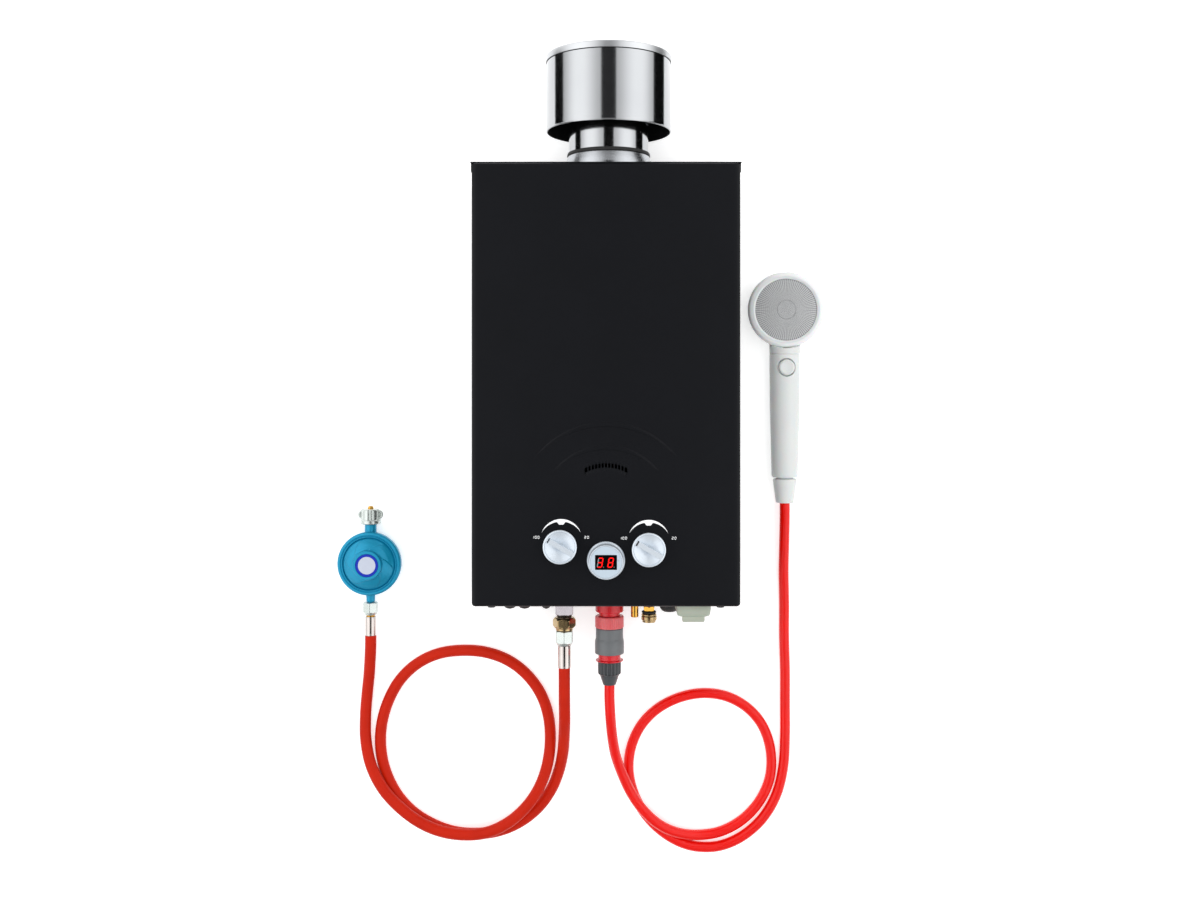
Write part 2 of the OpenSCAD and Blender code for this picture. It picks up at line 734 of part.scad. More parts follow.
module display_board() {
    w = window_w - 3;
    d = window_h - 3;
    color("#1f6b3a") translate([0, display_y, casing_d + 2]) {
        translate([-w / 2, -d / 2, 0]) cube([w, d, 1.6]);
        for (s = [-1, 1]) translate([s * 4.6 - 4, -5, 1.6]) cube([8, 10, display_h - 6.4]);
    }
}

// ---- Gas side at the heater ----

module gas_inlet() {
    color("#9fa3a6") {
        pointing_down(gas_x, valve_base_y, port_z) cylinder(r = 7.6, h = valve_base_y - gas_hex_y);
        pointing_down(gas_x, gas_hex_y, port_z) hexagon(inlet_hex, gas_hex_y - gas_taper_y);
        pointing_down(gas_x, gas_taper_y, port_z) cylinder(r1 = inlet_hex / 2, r2 = 8.4, h = 2.7);
        pointing_down(gas_x, gas_taper_y, port_z) cylinder(r = 6.3, h = gas_taper_y - hose_nut_y);
        pointing_down(gas_x, base_outer_y, port_z) hexagon(inlet_hex, 6);
    }
}

module union_hexagon(across, length) {
    intersection() {
        hexagon(across, length);
        rotate_extrude() polygon([[0, 0], [across / 2 - 0.4, 0], [across / 2 + 1.3, 1.8],
            [across / 2 + 1.3, length - 1.8], [across / 2 - 0.4, length], [0, length]]);
    }
}

module gas_union_nut() {
    color("#7d6536") pointing_down(gas_x, union_y, port_z) difference() {
        union() {
            union_hexagon(union_hex, union_l - 4);
            cylinder(r = union_hex / 2 - 1.2, h = union_l);
        }
        translate([0, 0, -1]) cylinder(r = 6.3 + running_gap, h = union_l + 2);
    }
}

module gas_hose_nut() {
    color("#c3c6c8") pointing_down(gas_x, hose_nut_y, port_z) union() {
        union_hexagon(hose_nut_hex, hose_nut_l - 3);
        cylinder(r = hose_nut_hex / 2 - 1.4, h = hose_nut_l);
    }
}

// A crimped sleeve with three pressed rings
module crimped_sleeve(r, length) {
    rotate_extrude() polygon(concat([[0, 0], [r - 0.4, 0], [r, 0.6]],
        [for (i = [1 : 3]) each [[r, length * i / 4 - 1.6], [r - 0.5, length * i / 4 - 0.9],
            [r - 0.5, length * i / 4 + 0.9], [r, length * i / 4 + 1.6]]],
        [[r, length - 0.6], [r - 0.4, length], [0, length]]));
}

module gas_ferrule() {
    color("#b4b7b9") pointing_down(gas_x, ferrule_y, port_z) crimped_sleeve(ferrule_r, ferrule_l);
}

module gas_hose() {
    color("#d92c10") swept_hose(gas_route, gas_hose_r, hose_sides);
}

// ---- Regulator ----

module regulator_body() {
    color("#2a93c0") difference() {
        union() {
            translate([reg_x, reg_y, 0]) rotate_extrude() polygon([[0, 0], [reg_r - 10, 0],
                [reg_r - 6.5, 2], [reg_r - 5, 6], [reg_r - 4.5, reg_bowl_h - reg_flange_h - 1],
                [reg_r - 0.8, reg_bowl_h - reg_flange_h], [reg_r, reg_bowl_h - reg_flange_h + 1],
                [reg_r, reg_bowl_h], [0, reg_bowl_h]]);
            pointing_up(reg_x, reg_y + reg_r - 8, reg_port_z) cylinder(r = reg_neck_r, h = reg_neck_l + 8);
            pointing_down(reg_x, reg_y - reg_r + 8, reg_port_z)
                cylinder(r = reg_outlet_r, h = reg_outlet_l + 8);
            pointing_down(reg_x, reg_outlet_y, reg_port_z) cylinder(r = 4, h = reg_nut_l - 5.5);
        }
        translate([reg_x, reg_y, 10]) cylinder(r = reg_r - 9, h = reg_bowl_h);
    }
}

// The domed cover: a rolled rim, a dish with swirl ribs and a centre boss for the label
module regulator_cover() {
    h = reg_cover_h;
    rim = reg_r;
    dish = reg_r - 5;
    boss = 17;
    color("#2a93c0") translate([reg_x, reg_y, reg_bowl_h]) difference() {
        union() {
            rotate_extrude() polygon([[0, 0], [rim, 0], [rim + 0.3, 1], [rim + 0.3, 3],
                [rim - 0.6, 4.2], [rim - 2.6, 4.8], [dish, 4], [dish - 3, 5], [dish - 8, 9],
                [boss + 1.5, h - 5], [boss, h - 1.6], [boss - 1, h - 0.5], [boss - 2.4, h],
                [0, h]]);
            for (i = [0 : reg_ribs - 1]) rotate([0, 0, i * 360 / reg_ribs]) swirl_rib(dish, h);
        }
        translate([0, 0, h - 1.2]) cylinder(r = boss - 3.6, h = 5);
        translate([0, 0, -1]) cylinder(r = dish - 6, h = 4);
    }
}

// One slanting rib of the cover's dish, from the boss down to the rim
module swirl_rib(dish, h) {
    bent_pipe([[15, 0, h - 4.2], [(dish - 1) * cos(38), (dish - 1) * sin(38), 4.4]], 1.3);
}

module regulator_label() {
    color("#f2f4f6") translate([reg_x, reg_y, reg_bowl_h + reg_cover_h - 1.2])
        cylinder(r = 13.2, h = 1);
}

module regulator_nipple() {
    color("#c8a24c") pointing_up(reg_x, reg_y + reg_r + reg_neck_l, reg_port_z)
        cylinder(r = 3.3, h = reg_wheel_l + 3.6);
}

// The hand wheel: a fluted hub with a round wing at each side
module regulator_wheel() {
    hub = wheel_r - 2.6;
    wing = 6;
    color("#d0d3d6") pointing_up(reg_x, reg_y + reg_r + reg_neck_l + fit_gap, reg_port_z) difference() {
        union() {
            rotate_extrude() polygon([[0, 0], [hub - 2, 0], [hub - 1.2, 0.8], [hub - 1, 4.2],
                [hub, 5.6], [hub, reg_wheel_l - 1.4], [hub - 1.2, reg_wheel_l], [0, reg_wheel_l]]);
            for (s = [-1, 1]) translate([s * (wheel_r - wing), 2.3, reg_wheel_l - wing - 0.6])
                rotate([90, 0, 0]) cylinder(r = wing, h = 4.6);
        }
        translate([0, 0, -1]) cylinder(r = 3.3 + running_gap, h = reg_wheel_l + 2);
        for (a = [30, 90, 150, 210, 270, 330]) rotate([0, 0, a])
            translate([hub + 0.9, 0, 5]) cylinder(r = 2.1, h = reg_wheel_l);
    }
}

module regulator_nut() {
    color("#c3c6c8") pointing_down(reg_x, reg_outlet_y - fit_gap, reg_port_z) difference() {
        union() {
            union_hexagon(reg_nut_hex, reg_nut_l - fit_gap - 3);
            cylinder(r = reg_nut_hex / 2 - 1.2, h = reg_nut_l - fit_gap);
        }
        translate([0, 0, -1]) cylinder(r = 4 + running_gap, h = reg_nut_l - 3.6);
    }
}

module regulator_ferrule() {
    color("#b4b7b9") pointing_down(reg_x, reg_outlet_y - reg_nut_l - fit_gap, reg_port_z) {
        cylinder(r = 5, h = 1.4);
        translate([0, 0, 1]) crimped_sleeve(reg_ferrule_r, reg_ferrule_l);
    }
}

// ---- Water side at the heater ----

module outlet_adapter() {
    color("#d9525a") pointing_down(outlet_x, adapter_y, port_z) difference() {
        union() {
            rotate_extrude() polygon([[0, 0], [15.8, 0], [16.2, 0.5], [16.2, 3.4],
                [15.6, adapter_flange], [12.35, adapter_flange],
                [12.35, adapter_flange + adapter_neck], [0, adapter_flange + adapter_neck]]);
            translate([0, 0, adapter_flange + adapter_neck]) ribbed(16.5, adapter_ring, 1.4, grip_ribs);
            cylinder(r = 8, h = 36);
        }
        translate([0, 0, -1]) cylinder(r = 9.1, h = 8);
        translate([0, 0, -1]) cylinder(r = 5.5, h = 40);
    }
}

module connector_core() {
    color("#d9525a") pointing_down(outlet_x, core_y, port_z) difference() {
        union() {
            cylinder(r = core_r, h = core_l);
            translate([0, 0, core_l]) cylinder(r = 15.8, h = core_flange);
        }
        translate([0, 0, -1]) cylinder(r = 8.1, h = 17);
        translate([0, 0, -1]) cylinder(r = 4.5, h = core_l + 10);
    }
}

// The sleeve that is pulled back to free the hose: a waisted grip with a flared foot
module connector_sleeve() {
    color("#55595c") pointing_down(outlet_x, core_y, port_z) difference() {
        rotate_extrude() polygon([[core_r - 1, 0], [sleeve_r - 0.6, 0], [sleeve_r, 0.8], [sleeve_r, 11],
            [sleeve_r + 0.25, 13], [sleeve_r + 0.75, 16], [sleeve_r + 0.75, sleeve_l - 5],
            [sleeve_r - 0.6, sleeve_l - 0.5], [sleeve_r - 1.2, sleeve_l], [core_r - 1, sleeve_l]]);
        translate([0, 0, -1]) cylinder(r = core_r + running_gap, h = sleeve_l + 2);
    }
}

module connector_nut() {
    color("#3c3f42") pointing_down(outlet_x, nut_y, port_z) {
        ribbed(13.2, nut_l, 1.4, grip_ribs);
        translate([0, 0, nut_l]) rotate_extrude() polygon([[0, 0], [11.6, 0], [10.6, 1.4],
            [7.6, cone_l - 1], [7.3, cone_l], [0, cone_l]]);
    }
}

module water_hose() {
    color("#e8201a") swept_hose(water_route, water_hose_r, hose_sides);
}

module relief_stub() {
    drop = valve_base_y - base_outer_y;
    color("#b08d3c") pointing_down(stub_x, valve_base_y, port_z) difference() {
        union() {
            cylinder(r = stub_r - 0.4, h = drop + 1);
            translate([0, 0, drop]) hexagon(11, stub_collar);
            translate([0, 0, drop + stub_collar]) cylinder(r = stub_r, h = stub_l);
        }
        translate([0, 0, 20]) cylinder(r = stub_r - 1.2, h = drop + stub_l);
    }
}

module drain_valve() {
    color("#b08d3c") pointing_down(drain_x, valve_base_y, port_z) {
        drop = valve_base_y - base_y;
        cylinder(r = 5, h = drop + 23.5);
        translate([0, 0, drop + 16]) hexagon(12, 5);
        cylinder(r = 3, h = drop + 30);
    }
}

module drain_cap() {
    color("#8f7434") pointing_down(drain_x, base_y - 23.8, port_z) difference() {
        union() {
            ribbed(drain_cap_r, 8, 1.2, 20);
            cylinder(r = drain_cap_r - 1.8, h = 10.5);
        }
        translate([0, 0, -1]) cylinder(r = 3 + running_gap, h = 8);
    }
}

// The threaded inlet stands on the valve block, with a collar against the base
module water_inlet() {
    drop = valve_base_y - base_y;
    color("#b08d3c") pointing_down(inlet_x, valve_base_y, port_z) difference() {
        union() {
            cylinder(r = thread_r, h = drop + 15);
            translate([0, 0, drop - 6.2]) hexagon(24, 3);
        }
        translate([0, 0, 16]) cylinder(r = 7.5, h = 60);
    }
}

// A push-on protective cap with a domed end
module inlet_cap() {
    r = thread_r + running_gap + 1.4;
    color("#151515") pointing_down(inlet_x, base_y - 0.3, port_z) difference() {
        rotate_extrude() polygon([[0, 0], [r + 0.4, 0], [r + 0.4, 2.2], [r, 2.6], [r, 14],
            [r - 0.9, 17], [r - 3.2, 20], [r - 6.5, 21.9], [r - 8.5, 22.3], [0, 22.3]]);
        translate([0, 0, -1]) cylinder(r = thread_r + running_gap, h = 16);
    }
}

// ---- Battery box ----

module battery_box() {
    inner = box_w - 2 * box_wall;
    color("#e3e6e2") difference() {
        union() {
            translate([battery_x - box_w / 2, box_y0, box_z]) cube([box_w, box_l, box_w]);
            translate([battery_x - box_w / 2 - 3, base_inner_y, box_z]) cube([box_w + 6, 2, box_w]);
            for (s = [-1, 1]) translate([battery_x + s * box_w * 0.32 - 2.5, hinge_y, hinge_z]) {
                rotate([0, 90, 0]) cylinder(r = knuckle_r, h = 5);
                translate([0, 0, -knuckle_r]) cube([5, box_y0 - hinge_y + 2.8, 2 * knuckle_r]);
                translate([0, box_y0 - hinge_y + 0.3, 0]) cube([5, 2.5, knuckle_r + 1]);
            }
        }
        translate([battery_x - inner / 2, box_y0 - 4, box_z + box_wall])
            cube([inner, box_l + 4 - box_wall, inner]);
        translate([battery_x - box_w, hinge_y, hinge_z]) rotate([0, 90, 0])
            cylinder(r = hinge_r + running_gap, h = 2 * box_w);
    }
}

module battery_hinge_pin() {
    color("#b9bcc0") translate([battery_x - box_w * 0.45, hinge_y, hinge_z]) rotate([0, 90, 0])
        cylinder(r = hinge_r, h = box_w * 0.9);
}

// The translucent lid: a shallow cup with a thumb tab, swinging on the pin at its rear edge
module battery_lid() {
    front_y = box_y0 - fit_gap;
    w = box_w;
    color("#cfd8cc") difference() {
        union() {
            translate([battery_x - w / 2, front_y - battery_lid_h, box_z])
                cube([w, battery_lid_h, w]);
            translate([battery_x - w / 2 + 6, front_y - battery_lid_h - 6, box_z + w - 8])
                cube([w - 12, 6.5, 4]);
            translate([battery_x - 5, hinge_y, hinge_z]) {
                rotate([0, 90, 0]) cylinder(r = knuckle_r, h = 10);
                translate([0, -knuckle_r, 0]) cube([10, knuckle_r, knuckle_r + 1]);
            }
        }
        translate([battery_x - w / 2 + box_wall, front_y - battery_lid_h + box_wall, box_z + box_wall])
            cube([w - 2 * box_wall, battery_lid_h, w - 2 * box_wall]);
        translate([battery_x - 6, hinge_y, hinge_z]) rotate([0, 90, 0])
            cylinder(r = hinge_r + running_gap, h = 12);
    }
}

module battery_cells() {
    color("#8a8f95") for (i = [0, 1])
        pointing_up(battery_x, box_y0 + 1 + i * (cell_l + 0.2), box_z + box_w / 2) {
            cylinder(r = cell_r, h = cell_l - 1.6);
            translate([0, 0, cell_l - 1.6]) cylinder(r = 4.7, h = 1.6);
        }
}

// ---- Inner works ----

// The outline of the hood, drawn in by a margin
module hood_outline(margin) {
    w = chamber_w / 2 - margin;
    low = chamber_y1 - (margin > 0 ? 1 : 0);
    polygon([[-w, low], [w, low], [w, chamber_y1 + hood_band - margin / 2],
        [flue_x + hood_throat - margin, hood_top_y - margin / 2],
        [flue_x - hood_throat + margin, hood_top_y - margin / 2],
        [-w, chamber_y1 + hood_band - margin / 2]]);
}

module flue_hood() {
    depth = chamber_z1 - chamber_z0;
    color("#a9adb0") difference() {
        translate([0, 0, chamber_z0]) linear_extrude(depth) hood_outline(0);
        translate([0, 0, chamber_z0 + chamber_wall]) linear_extrude(depth - 2 * chamber_wall)
            hood_outline(2.4);
        pointing_up(flue_x, hood_top_y - 5, flue_z) cylinder(r = flue_r - flue_wall, h = 10);
    }
}

// The copper jacket, with a water coil up its sides and feet on the back plate
module heat_exchanger() {
    w = chamber_w;
    depth = chamber_z1 - chamber_z0;
    color("#b5713c") {
        translate([-w / 2, chamber_y0, chamber_z0]) difference() {
            cube([w, chamber_l, depth]);
            translate([chamber_wall, -1, chamber_wall])
                cube([w - 2 * chamber_wall, chamber_l + 2, depth - 2 * chamber_wall]);
        }
        for (i = [0 : 2], s = [-1, 1])
            translate([s * (w / 2 + coil_r - 0.5), chamber_y0 + 28 + i * 45, chamber_z0 + 6])
                cylinder(r = coil_r, h = depth - 12);
        for (y = [chamber_y0 + 18, chamber_y1 - 20], s = [-1, 1])
            translate([s * (w / 2 - 12) - 8, y, sheet]) cube([16, 12, chamber_z0 - sheet + 0.5]);
    }
}

// Thin fins across the top of the jacket, on three water tubes
module fin_block() {
    w = chamber_w - 2 * chamber_wall;
    depth = chamber_z1 - chamber_z0 - 2 * chamber_wall;
    color("#b5713c") translate([-w / 2, fin_y, chamber_z0 + chamber_wall]) {
        for (i = [1 : fins])
            translate([i * w / (fins + 1) - fin_t / 2, 0, 0]) cube([fin_t, fin_l, depth]);
        for (i = [1 : 3])
            translate([0, fin_l / 2, i * depth / 4]) rotate([0, 90, 0]) cylinder(r = fin_tube_r, h = w);
    }
}

// Burner bars, each with a flame slot along its edge, in an open tray over a gas manifold
module burner() {
    w = chamber_w - 12;
    depth = chamber_z1 - chamber_z0 - 8;
    pitch = w / burner_bars;
    color("#8b8f92") {
        translate([-w / 2, burner_y0, chamber_z0 + 4]) difference() {
            cube([w, burner_l, depth]);
            for (i = [0 : burner_bars - 1])
                translate([i * pitch + burner_bar_t / 2, -1, 1.5])
                    cube([pitch - burner_bar_t, burner_l + 2, depth - 3]);
            for (i = [1 : burner_bars - 1])
                translate([i * pitch - 0.5, burner_l - 6, 8]) cube([1, 10, depth - 16]);
        }
        translate([-w / 2, burner_y0 - manifold_r + 2, port_z + manifold_rise]) rotate([0, 90, 0])
            cylinder(r = manifold_r, h = w);
        for (s = [-1, 1])
            translate([s * (w / 2 - 8) - 6, burner_y0 + 6, sheet]) cube([12, 14, chamber_z0 + 4.5]);
    }
}

module gas_valve() {
    manifold_y = burner_y0 - 2 * manifold_r + 2;
    color("#9a9da0") difference() {
        union() {
            translate([gas_knob_x - gas_valve_w / 2, valve_base_y, gas_valve_z])
                cube([gas_valve_w, valve_l, gas_valve_d]);
            translate([gas_knob_x, gas_knob_y, gas_valve_z + gas_valve_d - 1]) cylinder(r = 12, h = 16);
            translate([gas_knob_x, gas_knob_y, gas_valve_z + gas_valve_d - 1])
                cylinder(r = bush_r, h = bush_top_z - gas_valve_z - gas_valve_d + 1);
            pointing_up(gas_knob_x, valve_top_y - 1, port_z + 17)
                cylinder(r = bush_r, h = manifold_y - valve_top_y + 1);
            translate([gas_knob_x - 10, valve_base_y + 12, sheet]) cube([20, 28, gas_valve_z]);
        }
        translate([gas_knob_x, gas_knob_y, bush_top_z - stem_l - 2])
            cylinder(r = spindle_r + running_gap, h = stem_l + 8);
    }
}

module water_valve() {
    left = outlet_x + 12;
    top_z = water_valve_z + water_valve_d;
    color("#b08d3c") difference() {
        union() {
            translate([left, valve_base_y, water_valve_z])
                cube([inlet_x + 12 - left, water_valve_l, water_valve_d]);
            translate([water_knob_x, water_knob_y, top_z - 1]) cylinder(r = diaphragm_r, h = diaphragm_h);
            translate([water_knob_x, water_knob_y, top_z - 1]) cylinder(r = diaphragm_r - 5, h = bonnet_h);
            translate([water_knob_x, water_knob_y, top_z - 1]) cylinder(r = bush_r, h = bush_top_z - top_z + 1);
            translate([water_knob_x - valve_foot_w / 2, valve_base_y + 8, sheet])
                cube([valve_foot_w, valve_foot_l, water_valve_z]);
        }
        translate([water_knob_x, water_knob_y, bush_top_z - stem_l - 2])
            cylinder(r = spindle_r + running_gap, h = stem_l + 8);
    }
}

// A pipe that follows points, with a round elbow at each turn
module bent_pipe(points, r) {
    for (i = [0 : len(points) - 2]) {
        v = points[i + 1] - points[i];
        turn = atan2(norm([v[0], v[1]]), v[2]);
        translate(points[i]) rotate([0, turn, atan2(v[1], v[0])]) cylinder(r = r, h = norm(v));
        if (i > 0) translate(points[i]) sphere(r = r + 0.8);
    }
}

// The cold pipe from the valve to the exchanger, and the hot one back down to the outlet
module water_pipes() {
    start = valve_base_y + water_valve_l;
    color("#b5713c") {
        bent_pipe([[outlet_x, adapter_y - 6, port_z], [outlet_x, start + pipe_drop, port_z],
            [outlet_x, start + pipe_run, pipe_z], [outlet_x, hot_port_y, pipe_z],
            [outlet_x, hot_port_y, chamber_z0]], pipe_r);
        pointing_down(outlet_x, base_inner_y + 10, port_z)
            cylinder(r = 9, h = base_inner_y + 10 - adapter_y + 6);
        bent_pipe([[water_knob_x, start, port_z], [water_knob_x, start + pipe_drop, port_z],
            [water_knob_x, start + pipe_run, pipe_z], [water_knob_x, cold_port_y, pipe_z],
            [water_knob_x, cold_port_y, chamber_z0]], pipe_r);
    }
}

// The spark module on the back plate, with two electrodes that reach the burner's edge
module igniter() {
    wall_x = chamber_w / 2 + 4;
    spark_x = chamber_w / 2 - 6;
    color("#6a6d70") {
        translate([igniter_x, igniter_y, sheet]) cube([igniter_w, igniter_l, igniter_h]);
        for (y = [igniter_y + 32, igniter_y + 44]) {
            translate([wall_x, y, igniter_h - 6]) cube([2, 2, spark_rise - igniter_h + 8]);
            translate([wall_x, y, igniter_h - 6]) cube([igniter_x - wall_x + 4, 2, 2]);
            translate([spark_x, y, spark_rise]) cube([wall_x - spark_x + 1, 2, 2]);
        }
    }
}

// ---- Handset ----

module handset_body() {
    back_flat = 20;
    color("#eceeef") difference() {
        union() {
            translate([hand_x, head_y, 0]) rotate_extrude() polygon([[0, 0], [back_flat, 0],
                [back_flat + 9, 1.5], [head_r - 7.5, 6], [head_r - 3, 12], [head_r - 1, 19],
                [head_r - 0.8, head_t - 9], [0, head_t - 9]]);
            intersection() {
                pointing_down(hand_x, head_y - 20, handle_z) rotate_extrude()
                    polygon([[0, 0], [handle_r + 1, 0], [handle_r + 0.4, 20], [handle_r - 0.4, 31.2],
                        [handle_r - 0.9, 32], [handle_r - 0.4, 32.8],
                        [handle_r, 40], [handle_r - 0.6, 90], [handle_end_r, handle_l - 22],
                        [handle_end_r - 1.4, handle_l - 20.4], [10.2, handle_l - 20],
                        [10.2, handle_l - 20 + hand_nut_gap], [0, handle_l - 20 + hand_nut_gap]]);
                translate([hand_x - 60, handle_end_y - 60, 0]) cube([120, 400, 2 * handle_z]);
            }
        }
        translate([hand_x, head_y, head_t - 9]) cylinder(r = head_r + 0.2, h = 40);
        translate([hand_x, head_y, head_t - 13]) cylinder(r = plate_r - 1, h = 40);
        translate([hand_x, button_y, button_top_z - 6]) cylinder(r = button_r + 1.7, h = 10);
        translate([hand_x, button_y, button_top_z - 16]) cylinder(r = 4 + running_gap, h = 20);
    }
}

module handset_rim() {
    inner = plate_r + 0.1;
    color("#f6f7f8") translate([hand_x, head_y, 0]) rotate_extrude()
        polygon([[inner, head_t - 9], [head_r - 0.6, head_t - 9], [head_r, head_t - 8],
            [head_r, head_t - 5], [head_r - 1, head_t - 2], [head_r - 3, head_t - 0.4],
            [head_r - 4.5, head_t], [plate_r + 2, head_t], [inner, head_t - 1.2]]);
}

// The sprinkler plate, slightly domed, with its centre disc
module spray_plate() {
    color("#b9bcbe") translate([hand_x, head_y, head_t - 9]) rotate_extrude()
        polygon([[0, 0], [plate_r, 0], [plate_r, 6.4], [plate_r - 4, 7.2], [20, 8], [11.6, 8.3],
            [11.4, 7.8], [11, 7.8], [10.8, 8.4], [0, 8.6]]);
}

module handset_button() {
    color("#e9ebec") translate([hand_x, button_y, 0]) {
        translate([0, 0, button_top_z - 5.9 + button_travel]) rotate_extrude()
            polygon([[0, 0], [button_r, 0], [button_r, 2.4], [button_r - 0.8, 3.2],
                [button_r - 3, 3.3], [0, 2.7]]);
        translate([0, 0, button_top_z - 12]) cylinder(r = 4, h = 9);
    }
}

module handset_nut() {
    color("#d9dbdc") pointing_down(hand_x, hand_nut_y - fit_gap, handle_z) rotate_extrude()
        polygon([[0, 0], [13.6, 0], [13.9, 0.6], [13.7, 4], [11.2, 22], [10.6, hand_nut_l - 1],
            [10, hand_nut_l - fit_gap], [0, hand_nut_l - fit_gap]]);
}

back_plate();
base_plate();
front_cover();
top_cover();
base_plugs();
cover_screws();
flue_skirt();
flue_pipe();
cap_stays();
cap_drum();
cap_lid();
gas_knob();
gas_spindle();
water_knob();
water_spindle();
display_bezel();
display_window();
display_board();
gas_inlet();
gas_union_nut();
gas_hose_nut();
gas_ferrule();
gas_hose();
regulator_ferrule();
regulator_nut();
regulator_body();
regulator_cover();
regulator_label();
regulator_wheel();
regulator_nipple();
outlet_adapter();
connector_core();
connector_sleeve();
connector_nut();
water_hose();
relief_stub();
drain_valve();
drain_cap();
water_inlet();
inlet_cap();
battery_box();
battery_lid();
battery_hinge_pin();
battery_cells();
flue_hood();
heat_exchanger();
fin_block();
burner();
gas_valve();
water_valve();
water_pipes();
igniter();
handset_body();
handset_rim();
spray_plate();
handset_button();
handset_nut();
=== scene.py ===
"""Looks of a portable propane water heater, laid flat with its gas hose and its shower hose.

Lengths are millimetres in the row frame until a mesh is made: +X to the heater's right, +Y towards
its flue, +Z out of its front, and the surface that it lies on is z = 0. A profile's corners are rows
of radius, height and how far the easing of that corner reaches.
"""

from __future__ import annotations

import json
import logging
from dataclasses import dataclass, field
from enum import Enum
from typing import Any, Sequence

import bmesh
import bpy
import numpy as np
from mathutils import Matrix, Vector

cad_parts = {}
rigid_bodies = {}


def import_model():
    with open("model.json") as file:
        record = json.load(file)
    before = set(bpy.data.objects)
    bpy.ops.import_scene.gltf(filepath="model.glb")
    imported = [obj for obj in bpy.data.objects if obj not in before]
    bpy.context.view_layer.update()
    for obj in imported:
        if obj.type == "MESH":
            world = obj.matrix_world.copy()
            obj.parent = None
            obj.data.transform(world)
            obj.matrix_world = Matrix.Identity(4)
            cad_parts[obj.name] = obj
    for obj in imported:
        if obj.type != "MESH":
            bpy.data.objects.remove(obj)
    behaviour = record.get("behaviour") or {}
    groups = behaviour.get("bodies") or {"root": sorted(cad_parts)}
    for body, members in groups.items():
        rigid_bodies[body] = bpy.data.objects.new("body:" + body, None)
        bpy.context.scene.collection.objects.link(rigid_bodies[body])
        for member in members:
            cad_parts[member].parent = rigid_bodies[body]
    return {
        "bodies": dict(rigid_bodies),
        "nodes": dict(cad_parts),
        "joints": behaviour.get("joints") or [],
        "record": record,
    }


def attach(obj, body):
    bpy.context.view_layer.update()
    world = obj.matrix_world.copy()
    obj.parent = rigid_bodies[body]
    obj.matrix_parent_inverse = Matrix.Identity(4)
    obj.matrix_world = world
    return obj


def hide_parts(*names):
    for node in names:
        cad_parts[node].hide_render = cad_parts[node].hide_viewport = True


LOG = logging.getLogger("water_heater")
MM = 0.001
TAU = 2 * np.pi
SHARP = np.radians(34)
Grid = np.ndarray
Point = Sequence[float]
Socket = bpy.types.NodeSocket


# ---- Shapes ----


class Facing(Enum):
    """Where the axis of a turned piece points: the rows are what its x, y and z become."""

    FRONT = ((1, 0, 0), (0, 1, 0), (0, 0, 1))
    DOWN = ((1, 0, 0), (0, 0, 1), (0, -1, 0))
    UP = ((1, 0, 0), (0, 0, -1), (0, 1, 0))
    RIGHT = ((0, 1, 0), (0, 0, 1), (1, 0, 0))
    LEFT = ((0, 1, 0), (0, 0, -1), (-1, 0, 0))


def placed(points: Grid, origin: Point, facing: Facing = Facing.FRONT) -> Grid:
    """Points turned from the z axis to a facing, then moved to an origin: p' = p M + origin."""
    return points @ np.array(facing.value, float) + np.array(origin, float)


def soft_step(t: np.ndarray) -> np.ndarray:
    """A smooth rise from 0 to 1 as t goes from 0 to 1: t^2 (3 - 2 t), held outside."""
    held = np.clip(t, 0, 1)
    return held**2 * (3 - 2 * held)


def rotation(turn: float) -> np.ndarray:
    """What x and y are multiplied by, from the left, to go round by an angle anticlockwise."""
    return np.array([[np.cos(turn), np.sin(turn)], [-np.sin(turn), np.cos(turn)]])


def travelled(line: np.ndarray) -> np.ndarray:
    """Length along a line at each of its points."""
    return np.r_[0, np.cumsum(np.linalg.norm(np.diff(line, axis=0), axis=1))]


def level(loop: np.ndarray, z: float) -> np.ndarray:
    """A loop of x and y, laid at one height."""
    return np.c_[loop, np.full(len(loop), z)]


def plate(loop: np.ndarray, low: float, high: float) -> Grid:
    """A flat plate with the outline of a loop of x and y: its two rows lie at the two heights."""
    return np.stack([level(loop, low), level(loop, high)])


def around(turns: int) -> np.ndarray:
    """Evenly spaced angles of a full turn, from 0."""
    return np.arange(turns) * TAU / turns


def spun(radius: np.ndarray, height: np.ndarray, angle: np.ndarray) -> Grid:
    """Points about the z axis: (r cos a, r sin a, h), all three spread to rows by columns."""
    return np.stack(np.broadcast_arrays(radius * np.cos(angle), radius * np.sin(angle), height), -1)


def rounded(corners: Sequence[Point], steps: int = 6) -> np.ndarray:
    """A profile whose corners are eased: each is the curve (1-t)^2 A + 2t(1-t) P + t^2 B.

    Args:
        corners: Rows of radius, height and easing, which is 0 where it isn't given.
        steps: Points on each eased corner.

    Returns:
        Rows of radius and height, without doubles.
    """
    rows = np.array([(*corner, 0)[:3] for corner in corners], float)
    spot, reach = rows[:, :2], rows[:, 2:]
    back = np.vstack([spot[:1], spot[:-1]]) - spot
    ahead = np.vstack([spot[1:], spot[-1:]]) - spot
    a, b = (spot + reach * way / np.maximum(np.linalg.norm(way, axis=1, keepdims=True), 1e-9) for way in (back, ahead))
    t = np.linspace(0, 1, steps)[None, :, None]
    curve = (1 - t) ** 2 * a[:, None] + 2 * t * (1 - t) * spot[:, None] + t**2 * b[:, None]
    flat = curve.reshape(-1, 2)
    return flat[np.r_[True, np.linalg.norm(np.diff(flat, axis=0), axis=1) > 1e-6]]


def turned(profile: np.ndarray, turns: int = 96) -> Grid:
    """A turned surface: point (i, j) is at radius r_i and height h_i, at the angle 2 pi j / turns."""
    return spun(profile[:, :1], profile[:, 1:], around(turns))


